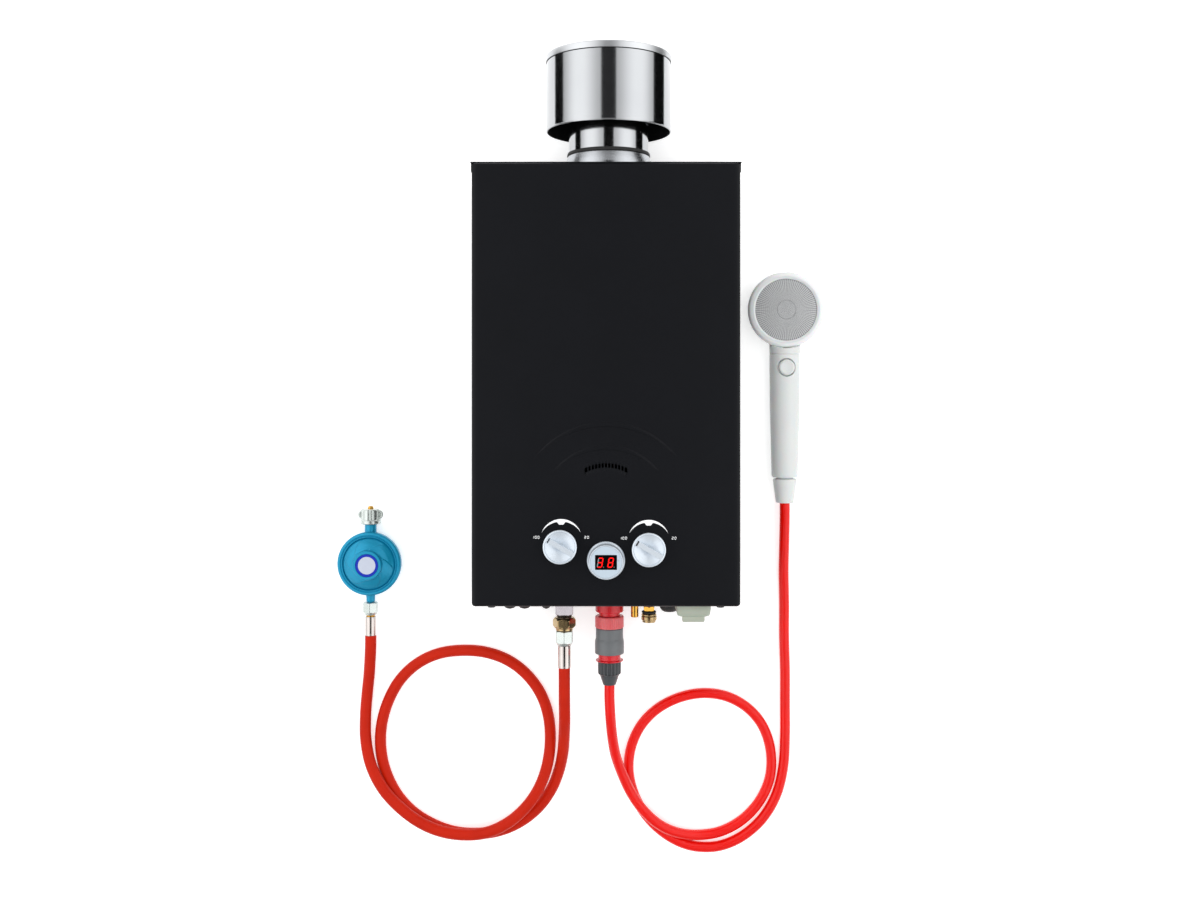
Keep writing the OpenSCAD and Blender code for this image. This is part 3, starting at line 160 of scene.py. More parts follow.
def faceted(profile: np.ndarray, across: float, start: float = 0.0) -> Grid:
    """A nut: r is the lesser of the profile's and a hexagon's, (across / 2) / cos of the angle off a flat.

    Args:
        profile: Rows of radius and height.
        across: Width across the flats.
        start: Angle of the first corner, in degrees.

    Returns:
        A grid of points about the z axis.
    """
    angle = around(120) + np.radians(start)
    off = (angle - np.radians(start)) % (TAU / 6) - TAU / 12
    return spun(np.minimum(profile[:, :1], across / 2 / np.cos(off)), profile[:, 1:], angle)


def gripped(corners: Sequence[Point], step: float, low: float, high: float, blend: float,
            inner: float = 0.0) -> np.ndarray:
    """An eased profile for ribs or flutes, with points added along it and a share of the depth at each.

    The share is 1 between two heights and falls to 0 over a blend outside them. It is 0 within the
    inner radius.

    Args:
        corners: Rows of radius, height and easing.
        step: The most that two points are apart.
        low: Height where the share has reached 1.
        high: Height where it starts to fall.
        blend: How far it takes to fall to 0.
        inner: Radius under which the piece stays round.

    Returns:
        Rows of radius, height and share.
    """
    rows = rounded(corners, 5)
    run = travelled(rows)
    counts = np.maximum(np.ceil(np.diff(run) / step).astype(int), 1)
    spans = [np.linspace(a, b, n, endpoint=False) for a, b, n in zip(run[:-1], run[1:], counts)]
    at = np.r_[np.concatenate(spans), run[-1]]
    r, h = np.interp(at, run, rows[:, 0]), np.interp(at, run, rows[:, 1])
    share = soft_step((h - low) / blend + 1) * soft_step((high - h) / blend + 1)
    return np.stack([r, h, share * (r >= inner)], -1)


def carved(profile: np.ndarray, depth: float, angle: np.ndarray, wave: np.ndarray) -> Grid:
    """A turned surface whose radius is less by depth times the row's share times a wave round the axis."""
    return spun(profile[:, :1] - depth * profile[:, 2:] * wave, profile[:, 1:2], angle)


def ribbed(profile: np.ndarray, count: int, depth: float, sharpness: float = 3.0) -> Grid:
    """A turned surface with raised ribs: the wave is 0 on a rib and 1 between two, squared off by a tanh.

    Args:
        profile: Rows of radius, height and share.
        count: Ribs round the axis.
        depth: How far the valleys lie below the ribs.
        sharpness: How square the ribs are.

    Returns:
        A grid of points about the z axis.
    """
    angle = around(count * 12)
    wave = 0.5 - 0.5 * np.tanh(sharpness * np.cos(count * angle)) / np.tanh(sharpness)
    return carved(profile, depth, angle, wave)


def grooved(profile: np.ndarray, count: int, depth: float, width: float, start: float = 0.0) -> Grid:
    """A turned surface with narrow flutes: the wave is exp(-(angle off a flute / width)^2).

    Args:
        profile: Rows of radius, height and share.
        count: Flutes round the axis.
        depth: How deep each flute is.
        width: Half width of a flute, in degrees.
        start: Angle of the first flute, in degrees.

    Returns:
        A grid of points about the z axis.
    """
    angle = around(count * max(16, 240 // count))
    step = TAU / count
    off = (angle - np.radians(start) + step / 2) % step - step / 2
    return carved(profile, depth, angle, np.exp(-((off / np.radians(width)) ** 2)))


def outline(w: float, h: float, r: float, steps: int = 8, side: int = 24) -> np.ndarray:
    """A rounded rectangle: a quarter circle at each corner and evenly spaced points along each side.

    Args:
        w: Width.
        h: Height.
        r: Corner radius.
        steps: Points on each corner.
        side: Points along each side.

    Returns:
        Rows of x and y, anticlockwise from the lower right corner's start.
    """
    r = max(r, 0.01)
    a = np.linspace(0, np.pi / 2, steps)
    quarter = np.stack([np.cos(a), np.sin(a)], -1) * r
    turn = np.array([[0, -1], [1, 0]], float)
    centres = np.array([[1, 1], [-1, 1], [-1, -1], [1, -1]]) * [w / 2 - r, h / 2 - r]
    corners = np.stack([centres[k] + quarter @ np.linalg.matrix_power(turn.T, k) for k in range(4)])
    t = np.linspace(0, 1, side + 2)[1:-1, None]
    runs = np.stack([corners[k][-1] * (1 - t) + corners[(k + 1) % 4][0] * t for k in range(4)])
    return np.concatenate([np.concatenate([corners[k], runs[k]]) for k in range(4)])


def boxed(w: float, h: float, corner: float, profile: np.ndarray) -> Grid:
    """A moulded box: row i is the rounded rectangle drawn in by inset i, at height i of the profile."""
    return np.stack([level(outline(w - 2 * d, h - 2 * d, corner - 0.6 * d), z) for d, z in profile])


def smooth_line(points: np.ndarray, per_step: int) -> np.ndarray:
    """A Catmull-Rom curve through points: each span is the cubic that shares its ends' slopes.

    Args:
        points: Rows that the curve passes through.
        per_step: New points on each span.

    Returns:
        Rows along the curve.
    """
    padded = np.vstack([2 * points[0] - points[1], points, 2 * points[-1] - points[-2]])
    p0, p1, p2, p3 = (padded[i : len(points) - 1 + i, None] for i in range(4))
    t = np.linspace(0, 1, per_step, endpoint=False)[None, :, None]
    spans = 0.5 * (2 * p1 + (p2 - p0) * t + (2 * p0 - 5 * p1 + 4 * p2 - p3) * t**2 + (3 * p1 - p0 - 3 * p2 + p3) * t**3)
    return np.vstack([spans.reshape(-1, points.shape[1]), points[-1:]])


def piped(line: np.ndarray, radius: float, turns: int) -> Grid:
    """A tube along a line: each ring is square to the line, at p + r (side cos a + top sin a).

    Args:
        line: Points along the middle.
        radius: The tube's radius.
        turns: Points in each ring.

    Returns:
        A grid of points.
    """
    slope = np.gradient(line, axis=0)
    slope[0], slope[-1] = line[1] - line[0], line[-1] - line[-2]
    slope /= np.linalg.norm(slope, axis=1, keepdims=True)
    side = np.cross(slope, [0, 0, 1.0])
    side /= np.linalg.norm(side, axis=1, keepdims=True)
    top = np.cross(side, slope)
    angle = around(turns)
    spokes = side[:, None] * np.cos(angle)[None, :, None] + top[:, None] * np.sin(angle)[None, :, None]
    return line[:, None] + radius * spokes


def linked(name: str, mesh: bpy.types.Mesh) -> bpy.types.Object:
    """An object in the scene for a mesh, which is shaded smooth between its sharp edges."""
    mesh.polygons.foreach_set("use_smooth", [True] * len(mesh.polygons))
    mesh.set_sharp_from_angle(angle=SHARP)
    mesh.update()
    made = bpy.data.objects.new(name, mesh)
    bpy.context.scene.collection.objects.link(made)
    return made


class Skin:
    """Gathers grids of points and makes one mesh object of them."""

    def __init__(self, name: str) -> None:
        """Starts an empty skin for the piece of that name."""
        self.name = name
        self.points: list[np.ndarray] = []
        self.faces: list[list[int]] = []
        self.maps: list[np.ndarray] = []
        self.count = 0

    def grid(self, points: Grid, wrap: bool = True, ends: bool = True, keep: np.ndarray | None = None,
             uv: np.ndarray | None = None) -> Skin:
        """Adds the quads between neighbours of a grid, and a face over each open end.

        Args:
            points: The grid, rows by columns by x, y, z.
            wrap: Whether the last column meets the first.
            ends: Whether the first and last rows are closed, where they don't meet.
            keep: Which quads stay, as rows by columns.
            uv: A map, rows by columns by u, v, with one more column than a wrapped grid.

        Returns:
            This skin.
        """
        rows, cols = points.shape[:2]
        index = np.arange(rows * cols).reshape(rows, cols) + self.count
        near, far = (index, np.roll(index, -1, 1)) if wrap else (index[:, :-1], index[:, 1:])
        quads = np.stack([near[:-1], far[:-1], far[1:], near[1:]], -1)
        mask = np.ones(quads.shape[:2], bool) if keep is None else keep
        self.points.append(points.reshape(-1, 3))
        self.faces += quads[mask].tolist()
        if uv is not None:
            a, b = uv[:, :-1], uv[:, 1:]
            self.maps.append(np.stack([a[:-1], b[:-1], b[1:], a[1:]], 2)[mask].reshape(-1, 2))
        capped = ends and wrap and not np.allclose(points[0], points[-1], rtol=0, atol=1e-6)
        for row, flip in ((0, -1), (rows - 1, 1)):
            if capped and np.ptp(points[row], axis=0).max() > 1e-5:
                self.faces.append(index[row][::flip].tolist())
                if uv is not None:
                    self.maps.append(np.zeros((cols, 2)))
        self.count += rows * cols
        return self

    def put(self, points: Grid, origin: Point, facing: Facing = Facing.FRONT) -> Skin:
        """Adds a grid made about the z axis, placed as placed does it, and gives this skin."""
        return self.grid(placed(points, origin, facing))

    def build(self, closed: bool = True, merge: float = 2e-7) -> bpy.types.Object:
        """Makes the object, with doubles merged, and faces outwards where it is closed.

        Args:
            closed: Whether each shell of it is closed.
            merge: Distance in metres under which points become one.

        Returns:
            The object, at the origin.
        """
        mesh = bpy.data.meshes.new(self.name)
        mesh.from_pydata((np.vstack(self.points) * MM).tolist(), [], self.faces)
        if self.maps:
            layer = mesh.uv_layers.new(name="UVMap")
            layer.data.foreach_set("uv", np.vstack(self.maps).astype(np.float32).ravel())
        work = bmesh.new()
        work.from_mesh(mesh)
        bmesh.ops.remove_doubles(work, verts=work.verts, dist=merge)
        bmesh.ops.dissolve_degenerate(work, edges=work.edges, dist=merge)
        if closed:
            bmesh.ops.recalc_face_normals(work, faces=work.faces)
        work.to_mesh(mesh)
        work.free()
        return linked(self.name, mesh)


# ---- Finishes ----


def linear(code: str) -> tuple[float, float, float, float]:
    """An sRGB hex colour as linear red, green, blue and alpha."""
    value = np.array([int(code[i : i + 2], 16) / 255 for i in (1, 3, 5)])
    low, high = value / 12.92, ((value + 0.055) / 1.055) ** 2.4
    return (*np.where(value <= 0.04045, low, high).tolist(), 1.0)


class Nodes:
    """A new material and its node tree, with the kinds of node that the finishes share."""

    def __init__(self, name: str) -> None:
        """Starts a material with an empty tree, its Object coordinates and its own map."""
        self.material = bpy.data.materials.new(name)
        self.material.use_nodes = True
        self.tree = self.material.node_tree
        self.tree.nodes.clear()
        spots = self.add("TexCoord", {}).outputs
        self.where, self.map = spots["Object"], spots["UV"]

    def add(self, kind: str, inputs: dict[str | int, Any], **settings: Any) -> bpy.types.Node:
        """Adds a node with its settings and inputs.

        Args:
            kind: The node's type name, without ShaderNode.
            inputs: Socket name or index to its value, or to the output that feeds it.
            **settings: The node's own properties.

        Returns:
            The node.
        """
        node = self.tree.nodes.new("ShaderNode" + kind)
        for name, value in settings.items():
            setattr(node, name, value)
        for key, value in inputs.items():
            if isinstance(value, Socket):
                self.tree.links.new(value, node.inputs[key])
            else:
                node.inputs[key].default_value = value
        return node

    def noise(self, size_mm: float, detail: float, where: Socket) -> Socket:
        """Noise whose features have that size."""
        return self.add("TexNoise", {"Scale": 1 / (size_mm * MM), "Detail": detail, "Vector": where}).outputs[0]

    def mix(self, share: Socket, first: Any, second: Any) -> Socket:
        """A colour between two, each of which is a linear colour or an output."""
        return self.add("Mix", {0: share, 6: first, 7: second}, data_type="RGBA").outputs[2]

    def ranged(self, value: Socket, source: Point, target: Point, **settings: str) -> Socket:
        """A value carried from a source range to a target range, and held inside it."""
        inputs = {"Value": value, "From Min": source[0], "From Max": source[1], "To Min": target[0],
                  "To Max": target[1]}
        return self.add("MapRange", inputs, **settings).outputs[0]

    def shaded(self, kind: str, inputs: dict[str, Any]) -> bpy.types.Material:
        """The material, once it has its shader and its output."""
        self.add("OutputMaterial", {"Surface": self.add(kind, inputs).outputs[0]})
        return self.material


@dataclass(frozen=True)
class Finish:
    """What a surface is made of and how it was made, in colours, millimetres and typical values."""

    name: str
    colour: str
    drift: str
    roughness: float
    spread: float = 0.05
    metallic: float = 0.0
    ior: float = 1.5
    drift_mm: float = 70.0
    grain_mm: float = 0.9
    depth_mm: float = 0.012
    stretch: tuple[float, float, float] = (1, 1, 1)
    coat: float = 0.0
    coat_roughness: float = 0.08
    glow: float = 0.0
    scatter: float = 0.0
    specular: float = 0.5
    dirt: str = ""
    dirt_share: float = 0.0

    def material(self) -> bpy.types.Material:
        """The material of that name, made the first time that it is asked for.

        Returns:
            A procedural material on Object coordinates.
        """
        known = bpy.data.materials.get(self.name)
        if known:
            return known
        nodes = Nodes(self.name)
        lay = nodes.add("Mapping", {"Scale": self.stretch, "Vector": nodes.where}).outputs[0]
        grain = nodes.noise(self.grain_mm, 2.0, lay)
        rough = nodes.ranged(grain, (0.3, 0.7), (max(self.roughness - self.spread, 0.02), self.roughness + self.spread))
        bump = nodes.add("Bump", {"Strength": 1.0, "Distance": self.depth_mm * MM, "Height": self.relief(nodes, grain)})
        colour = self.base(nodes)
        inputs = {"Base Color": colour, "Roughness": rough, "Normal": bump.outputs[0], "Metallic": self.metallic,
                  "Coat Weight": self.coat, "Coat Roughness": self.coat_roughness, "Emission Strength": self.glow,
                  "Subsurface Weight": self.scatter, "Subsurface Scale": 0.004, "Specular IOR Level": self.specular}
        if self.glow:
            inputs["Emission Color"] = colour
        if not self.metallic:
            inputs["IOR"] = self.ior
        return nodes.shaded("BsdfPrincipled", inputs)

    def base(self, nodes: Nodes) -> Socket:
        """The colour's output: it drifts softly between two near shades, with dirt where there is any."""
        clean = nodes.mix(nodes.noise(self.drift_mm, 3.0, nodes.where), linear(self.colour), linear(self.drift))
        if not self.dirt:
            return clean
        spots = nodes.ranged(nodes.noise(4, 6.0, nodes.where), (0.52, 0.7), (0.0, self.dirt_share))
        return nodes.mix(spots, clean, linear(self.dirt))

    def relief(self, nodes: Nodes, grain: Socket) -> Socket:
        """The height's output: the grain that rolling, moulding or coating leaves."""
        return grain


@dataclass(frozen=True)
class HoseFinish(Finish):
    """A hose's skin, with its wound reinforcement showing through along its map of turns and metres."""

    lay_mm: float = 1.6

    def relief(self, nodes: Nodes, grain: Socket) -> Socket:
        """The height's output: a sine along the hose, one wave a lay. The node's own wave is 2 pi / 20 long."""
        inputs = {"Scale": TAU / (20 * self.lay_mm * MM), "Distortion": 0.0, "Vector": nodes.map}
        return nodes.add("TexWave", inputs, wave_type="BANDS", bands_direction="Y", wave_profile="SIN").outputs["Fac"]


@dataclass(frozen=True)
class HoleShadeFinish(Finish):
    """A plate with a dark dot in each unit square of its own map: painted shade standing in for a hole."""

    dot: str = "#5c5f62"
    hole_shade_size: float = 0.28

    def base(self, nodes: Nodes) -> Socket:
        """The colour's output: the plate's, darker within the dot's size of each square's middle, as painted shade of
        the holes.
        """
        unit = nodes.add("VectorMath", {0: nodes.map}, operation="FRACTION").outputs[0]
        off = nodes.add("VectorMath", {0: unit, 1: (0.5, 0.5, 0.0)}, operation="DISTANCE").outputs["Value"]
        hole = nodes.ranged(off, (self.hole_shade_size, self.hole_shade_size + 0.1), (1.0, 0.0))
        return nodes.mix(hole, super().base(nodes), linear(self.dot))


# Powder-coated steel, baked: a fine orange peel that keeps highlights soft
POWDER_COAT = Finish("powder_coated_steel", "#0f1013", "#121317", 0.4, specular=0.1, grain_mm=1.4, depth_mm=0.015)
# Moulded rubber: nearly black and dull. The same black is painted shade in the knobs' notches and where the flue's pipe
# leaves its skirt
RUBBER_AND_SHADE = Finish("moulded_rubber_and_painted_shade", "#141414", "#1c1c1c", 0.62, ior=1.52, grain_mm=0.7, depth_mm=0.02)
# Blackened steel screws
BLACK_ZINC = Finish("black_zinc_screw", "#2c2d2f", "#3a3a3b", 0.4, metallic=0.8, drift_mm=6)
# Rolled stainless sheet bent round, with a fine grain that runs round the flue
STAINLESS = Finish("rolled_stainless_sheet", "#b7b9bb", "#adafb2", 0.12, metallic=1.0, spread=0.03, grain_mm=0.5,
                   depth_mm=0.002, stretch=(0.05, 1, 0.05))
# The lid's face, brushed dull
BRUSHED_LID = Finish("brushed_stainless_lid", "#d5d7d9", "#c9cbce", 0.38, metallic=1.0, grain_mm=0.5, depth_mm=0.01)
# The inside of the drum, dark: painted shade, as is the thin ring under the lid's rim
PAINTED_SHADE_STEEL = Finish("painted_shade_steel", "#1a1a1b", "#0e0e0f", 0.7, metallic=0.3, specular=0.1, drift_mm=30)
# The same sheet pressed to shape for the skirt and the stays
PRESSED_STAINLESS = Finish("pressed_stainless_sheet", "#bfc2c6", "#a9acb0", 0.26, metallic=1.0, grain_mm=0.6,
                           depth_mm=0.006)
# Silver painted ABS: pearly paint with a soft sheen
SILVER_ABS = Finish("silver_painted_abs", "#ccd5de", "#d6dee6", 0.3, metallic=0.3, coat=0.3, coat_roughness=0.2,
                    grain_mm=0.35, depth_mm=0.004)
# The display's pad-printed face, pale blue-grey
FACE_ABS = Finish("pale_blue_face", "#b3c3d0", "#bbc9d5", 0.4, coat=0.2, grain_mm=0.4, depth_mm=0.004)
# Smoked acrylic over the digits
SMOKED_ACRYLIC = Finish("smoked_acrylic", "#060607", "#0a090a", 0.08, ior=1.49, coat=0.5, depth_mm=0.001)
# Lit and unlit segments of the digits
LIT_SEGMENT = Finish("lit_segment", "#f20a05", "#fa0f08", 0.5, specular=0.1, glow=0.6, drift_mm=8)
DARK_SEGMENT = Finish("unlit_segment", "#6f7478", "#7d8286", 0.5, drift_mm=8)
# Pad-printed inks of the dials and of the display's face
WHITE_INK = Finish("white_ink", "#f4f5f6", "#ffffff", 0.5, drift_mm=8)
GREY_INK = Finish("grey_ink", "#7f92a0", "#8b9ca9", 0.5, drift_mm=8)
# Nickel-plated brass
NICKEL = Finish("nickel_plate", "#aca7ab", "#9a9599", 0.24, metallic=1.0, drift_mm=9, grain_mm=0.5)
# Turned brass, some of it dull with age
BRASS = Finish("turned_brass", "#dcae55", "#c8943a", 0.22, metallic=1.0, drift_mm=9, grain_mm=0.4,
               stretch=(0.1, 1, 0.1))
AGED_BRASS = Finish("aged_brass", "#c4ac80", "#9c8560", 0.18, metallic=1.0, drift_mm=9, grain_mm=0.7, depth_mm=0.003,
                    dirt="#3a2c18", dirt_share=0.2)
# Bright zinc plate, a little milky
ZINC = Finish("zinc_plate", "#ccd3d0", "#c1c8c4", 0.26, metallic=0.85, drift_mm=8, grain_mm=0.6)
# Crimped steel ferrule, nickel plated
FERRULE = Finish("crimped_ferrule", "#d0c9c5", "#bfb7b2", 0.14, metallic=1.0, drift_mm=12, grain_mm=0.7,
                 depth_mm=0.002)
# LPG hose: orange-red rubber with a cloth-wrapped satin skin
GAS_RUBBER = HoseFinish("orange_gas_rubber", "#cc2405", "#b41b03", 0.45, ior=1.52, specular=0.1, lay_mm=1.1,
                        depth_mm=0.02, drift_mm=30)
# Shower hose: glossy red PVC over a wound reinforcement
RED_PVC = HoseFinish("red_pvc_hose", "#f00e04", "#e00b03", 0.2, ior=1.53, specular=0.22, coat=0.15, depth_mm=0.1,
                     drift_mm=30)
# Metallic blue lacquer on die-cast zinc
BLUE_LACQUER = Finish("blue_lacquer", "#0a88ae", "#1292b8", 0.36, metallic=0.35, specular=0.3, coat=0.15,
                      coat_roughness=0.15, grain_mm=0.3, depth_mm=0.006, drift_mm=25)
# The label on its lid: bare paper within a printed border
WHITE_LABEL = Finish("paper_label", "#c2c9d8", "#bac1d2", 0.6, drift_mm=12)
BLUE_INK = Finish("blue_ink", "#0a30b4", "#0828a4", 0.5, specular=0.2, drift_mm=12)
# Tinted polypropylene: the light goes some way in
RED_PP = Finish("tinted_red_polypropylene", "#de5e62", "#e46d70", 0.3, ior=1.49, scatter=0.25, drift_mm=10)
DEEP_RED_PP = Finish("deep_red_polypropylene", "#e01f2c", "#c81622", 0.22, ior=1.49, scatter=0.2, drift_mm=10)
GREY_PP = Finish("grey_polypropylene", "#5e6164", "#6f7274", 0.42, ior=1.49, drift_mm=14)
DARK_PP = Finish("dark_polypropylene", "#3b3e41", "#46494c", 0.32, ior=1.49, drift_mm=10)
# Milky, faintly green polypropylene
MILKY_PP = Finish("milky_polypropylene", "#adb4a5", "#a2a99a", 0.4, ior=1.49, scatter=0.1, drift_mm=18)
# Glossy white ABS
WHITE_ABS = Finish("white_abs", "#f0f2f2", "#eaecec", 0.2, ior=1.53, specular=0.25, coat=0.15, scatter=0.3,
                   grain_mm=1.2, depth_mm=0.004)
# Light grey ABS, and the same perforated, its holes painted as dots of shade
GREY_ABS = Finish("light_grey_abs", "#e3e6e5", "#dcdfde", 0.28, ior=1.53, specular=0.2, scatter=0.2, grain_mm=0.8)
SPRAY_ABS = HoleShadeFinish("perforated_grey_abs", "#b9babb", "#c4c5c6", 0.36, ior=1.53, drift_mm=20)
# Copper sheet and tube, tarnished by heat
COPPER = Finish("rolled_copper", "#c0764a", "#a6603a", 0.3, metallic=1.0, drift_mm=25, dirt="#5b3320",
                dirt_share=0.4)
# Dip-coated and cast metals of the burner, the flue's hood and the gas valve
ALUMINISED = Finish("aluminised_steel", "#a9acae", "#93979a", 0.4, metallic=0.9, drift_mm=20)
CAST_ALUMINIUM = Finish("cast_aluminium", "#9a9da0", "#878b8e", 0.5, metallic=0.9, grain_mm=1.6, depth_mm=0.05)
# The display's board, and the batteries' printed jacket
CIRCUIT_BOARD = Finish("circuit_board", "#1f6b3a", "#1a5a30", 0.4, drift_mm=6)
CELL_JACKET = Finish("cell_jacket", "#7c8288", "#8b9096", 0.3, metallic=0.5, drift_mm=14)


class Workshop:
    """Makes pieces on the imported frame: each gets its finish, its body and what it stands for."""

    def __init__(self) -> None:
        """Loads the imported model."""
        self.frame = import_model()
        self.body = {n: b for b, ns in self.frame["record"]["behaviour"]["bodies"].items() for n in ns}
        self.made: dict[str, bpy.types.Object] = {}

    def piece(self, made: bpy.types.Object, finish: Finish, node: str, slot: str, extra: bool = False) -> None:
        """Dresses an object, hangs it on the body of a CAD node and lets it stand for that node.

        Args:
            made: The object.
            finish: Its finish.
            node: The CAD node.
            slot: The record's material slot; not used.
            extra: Whether it only goes with the node, and replaces nothing.
        """
        made.data.materials.clear()
        made.data.materials.append(finish.material())
        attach(made, self.body[node])
        if not extra:
            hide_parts(node)
        self.made[made.name] = made
        LOG.info("%s: %s, on %s", made.name, finish.name, self.body[node])

    def shell(self, name: str, grid: Grid, origin: Point, facing: Facing, finish: Finish, node: str, slot: str,
              extra: bool = False) -> None:
        """Makes a piece of one grid about an axis.

        Args:
            name: The new piece.
            grid: Points about the z axis.
            origin: Where its own zero goes.
            facing: Where its axis points.
            finish: Its finish.
            node: The CAD node that it stands for.
            slot: The record's material slot.
            extra: Whether it only goes with the node.
        """
        self.piece(Skin(name).put(grid, origin, facing).build(), finish, node, slot, extra)

    def turn(self, name: str, corners: Sequence[Point], origin: Point, facing: Facing, finish: Finish, node: str,
             slot: str, extra: bool = False, turns: int = 96) -> None:
        """Makes a turned piece from an eased profile; its other arguments are those of shell."""
        self.shell(name, turned(rounded(corners), turns), origin, facing, finish, node, slot, extra)

    def keep(self, node: str, finish: Finish) -> None:
        """Gives a CAD node that stays as it is its finish."""
        mesh = self.frame["nodes"][node].data
        mesh.materials.clear()
        mesh.materials.append(finish.material())
        LOG.info("%s: %s, kept", node, finish.name)

    def eased(self, node: str, name: str, finish: Finish, slot: str, width: float) -> None:
        """Makes a piece of a CAD solid, in its place, with its doubles merged and its edges eased.

        Args:
            node: The CAD node.
            name: The new piece.
            finish: Its finish.
            slot: The record's material slot.
            width: Width of the eased edges.
        """
        work = bmesh.new()
        work.from_mesh(self.frame["nodes"][node].data)
        bmesh.ops.remove_doubles(work, verts=work.verts, dist=1e-6)
        bmesh.ops.dissolve_limit(work, angle_limit=np.radians(0.6), verts=work.verts, edges=work.edges)
        mesh = bpy.data.meshes.new(name)
        work.to_mesh(mesh)
        work.free()
        made = linked(name, mesh)
        edge = made.modifiers.new("eased_edges", "BEVEL")
        edge.width, edge.segments, edge.limit_method, edge.angle_limit = width * MM, 2, "ANGLE", SHARP
        edge.harden_normals = True
        self.piece(made, finish, node, slot)


# ---- Casing ----


@dataclass
class Casing:
    """The powder-coated case: a deep front cover, plates, plugs and screws."""

    shop: Workshop
    width: float = 290.0
    height: float = 480.0
    depth: float = 145.0
    edge: float = 5.0
    corner: float = 4.0
    sheet: float = 1.2
    arc_y: float = -136.5
    slot_r: float = 49.0
    slot_h: float = 4.5
    slot_half: float = 28.0
    bars: int = 12
    bar: float = 1.1
    crescents: tuple[float, float] = (68.0, 93.0)
    crescent_t: float = 5.0
    emboss: float = 1.0
    disc_r: float = 104.0
    margin: float = 12.0
    fade: float = 12.0
    plugs_at: tuple[float, float] = (-238.5, 110.0)

    def build(self) -> None:
        """Makes the front cover and the plugs, and dresses the plates."""
        self.front()
        self.shop.eased("top_cover", "rain_lid", POWDER_COAT, "black_steel", 0.25)
        for node, finish in (("back_plate", POWDER_COAT), ("base_plate", POWDER_COAT), ("cover_screws", BLACK_ZINC)):
            self.shop.keep(node, finish)
        self.plugs()

    def crescent(self, x: np.ndarray, y: np.ndarray, r: float) -> np.ndarray:
        """How far a point is inside a crescent: the lesser of its distances to the two arcs that bound it.

        Args:
            x: Sideways from the arcs' centre.
            y: Up from the arcs' centre.
            r: The crescent's radius.

        Returns:
            The distance, negative outside.
        """
        shift = 3 * self.crescent_t
        outer = r + self.crescent_t / 2 - np.hypot(x, y)
        inner = np.hypot(x, y + shift) - (r - self.crescent_t / 2 + shift)
        return np.where(y > 0, np.minimum(outer, inner), -1.0)

    def disc(self, radii: np.ndarray, angle: np.ndarray, half: float) -> Grid:
        """The face about the arcs' centre, with the crescents raised: point (i, j) is at radius r_i, angle a_j.

        Within the slot's band the rays turn until they stand upright, so that its bars are parallel,
        and the turn fades out around it. Near the lower edge the radii shrink to stay on the face.

        Args:
            radii: The rows' radii.
            angle: The columns' angles, from straight up.
            half: The slot's half angle.

        Returns:
            A grid of points.
        """
        room = (self.height / 2 + self.arc_y - self.margin) / np.maximum(-np.cos(angle), 0.01)
        rays = radii[:, None] * np.minimum(1, room / radii[-1])
        upright = np.arcsin(np.clip(self.slot_r * np.sin(angle) / np.maximum(rays, 1), -0.98, 0.98))
        near = np.clip(1 - np.abs(rays - self.slot_r) / self.fade, 0, 1) * np.clip(2 - np.abs(angle) / half, 0, 1)
        band = (np.abs(rays - self.slot_r) <= self.slot_h / 2 + 0.01) & (np.abs(angle) <= half + 1e-6)
        turn = angle + np.where(band, 1.0, near**2) * np.where(np.abs(angle) < 2 * half, upright - angle, 0)
        x, y = rays * np.sin(turn), rays * np.cos(turn)
        z = self.depth + sum(self.emboss * soft_step(self.crescent(x, y, r) / 1.6 + 0.35) for r in self.crescents)
        return np.stack([x, y + self.arc_y, z], -1)

    def front(self) -> None:
        """The pressed cover: the disc, then rows that blend to the rounded rectangle, roll over and run down.

        The slot's openings are left out between two rows, and the sheet's thickness goes inwards.
        """
        half = np.radians(self.slot_half)
        ribs = self.slot_r * np.sin(half) * (2 * np.arange(1, self.bars + 1) / (self.bars + 1) - 1)
        cuts = np.arcsin(np.r_[ribs - self.bar / 2, ribs + self.bar / 2] / self.slot_r)
        size = np.array([self.width, self.height - self.sheet])
        centre = np.array([0, -self.sheet / 2])
        rim = outline(*size, self.corner, 8, 46) + centre
        spread = np.arctan2(rim[:, 0], rim[:, 1] - self.arc_y)
        angle = np.unique(np.round(np.r_[spread, cuts, -half, half, np.linspace(-half, half, 57)], 6))
        order = np.argsort(spread)
        rim = np.stack([np.interp(angle, spread[order], rim[order, k], period=TAU) for k in (0, 1)], -1)
        low, high = self.slot_r - self.slot_h / 2, self.slot_r + self.slot_h / 2
        radii = np.unique(np.r_[0, 12, 24, 36, 42, low, np.linspace(low, high, 4), 56, np.arange(60, 73.1, 0.5),
                                78, 82, np.arange(85, 98.1, 0.5), self.disc_r])
        disc = self.disc(radii, angle, half)
        bend = np.linspace(0, 1, 9) * np.pi / 2
        roll = np.c_[self.edge * (1 - np.sin(bend)), self.depth - self.edge * (1 - np.cos(bend))]
        side = np.vstack([[(9, self.depth)], roll, [(0, 100), (0, 50), (0, 0.6)]])
        edge = np.stack([level((rim - centre) * ((size / 2 - inset) / (size / 2)) + centre, z) for inset, z in side])
        t = np.linspace(0, 1, 6)[1:-1, None, None]
        grid = np.concatenate([disc, disc[-1] * (1 - t) + edge[0] * t, edge])
        keep = np.ones((len(grid) - 1, len(angle)), bool)
        rows = (radii[:-1] >= low - 0.01) & (radii[1:] <= high + 0.01)
        middle = angle + 0.5 * np.diff(np.r_[angle, angle[0] + TAU])
        clear = np.abs(self.slot_r * np.sin(middle)[:, None] - ribs).min(1) > self.bar / 2
        keep[: len(rows)][rows[:, None] & clear & (np.abs(middle) < half)] = False
        made = Skin("front_shell").grid(grid, ends=False, keep=keep).build(closed=False)
        wall = made.modifiers.new("sheet_thickness", "SOLIDIFY")
        wall.thickness, wall.offset = self.sheet * MM, -1.0
        self.shop.piece(made, POWDER_COAT, "front_cover", "black_steel")

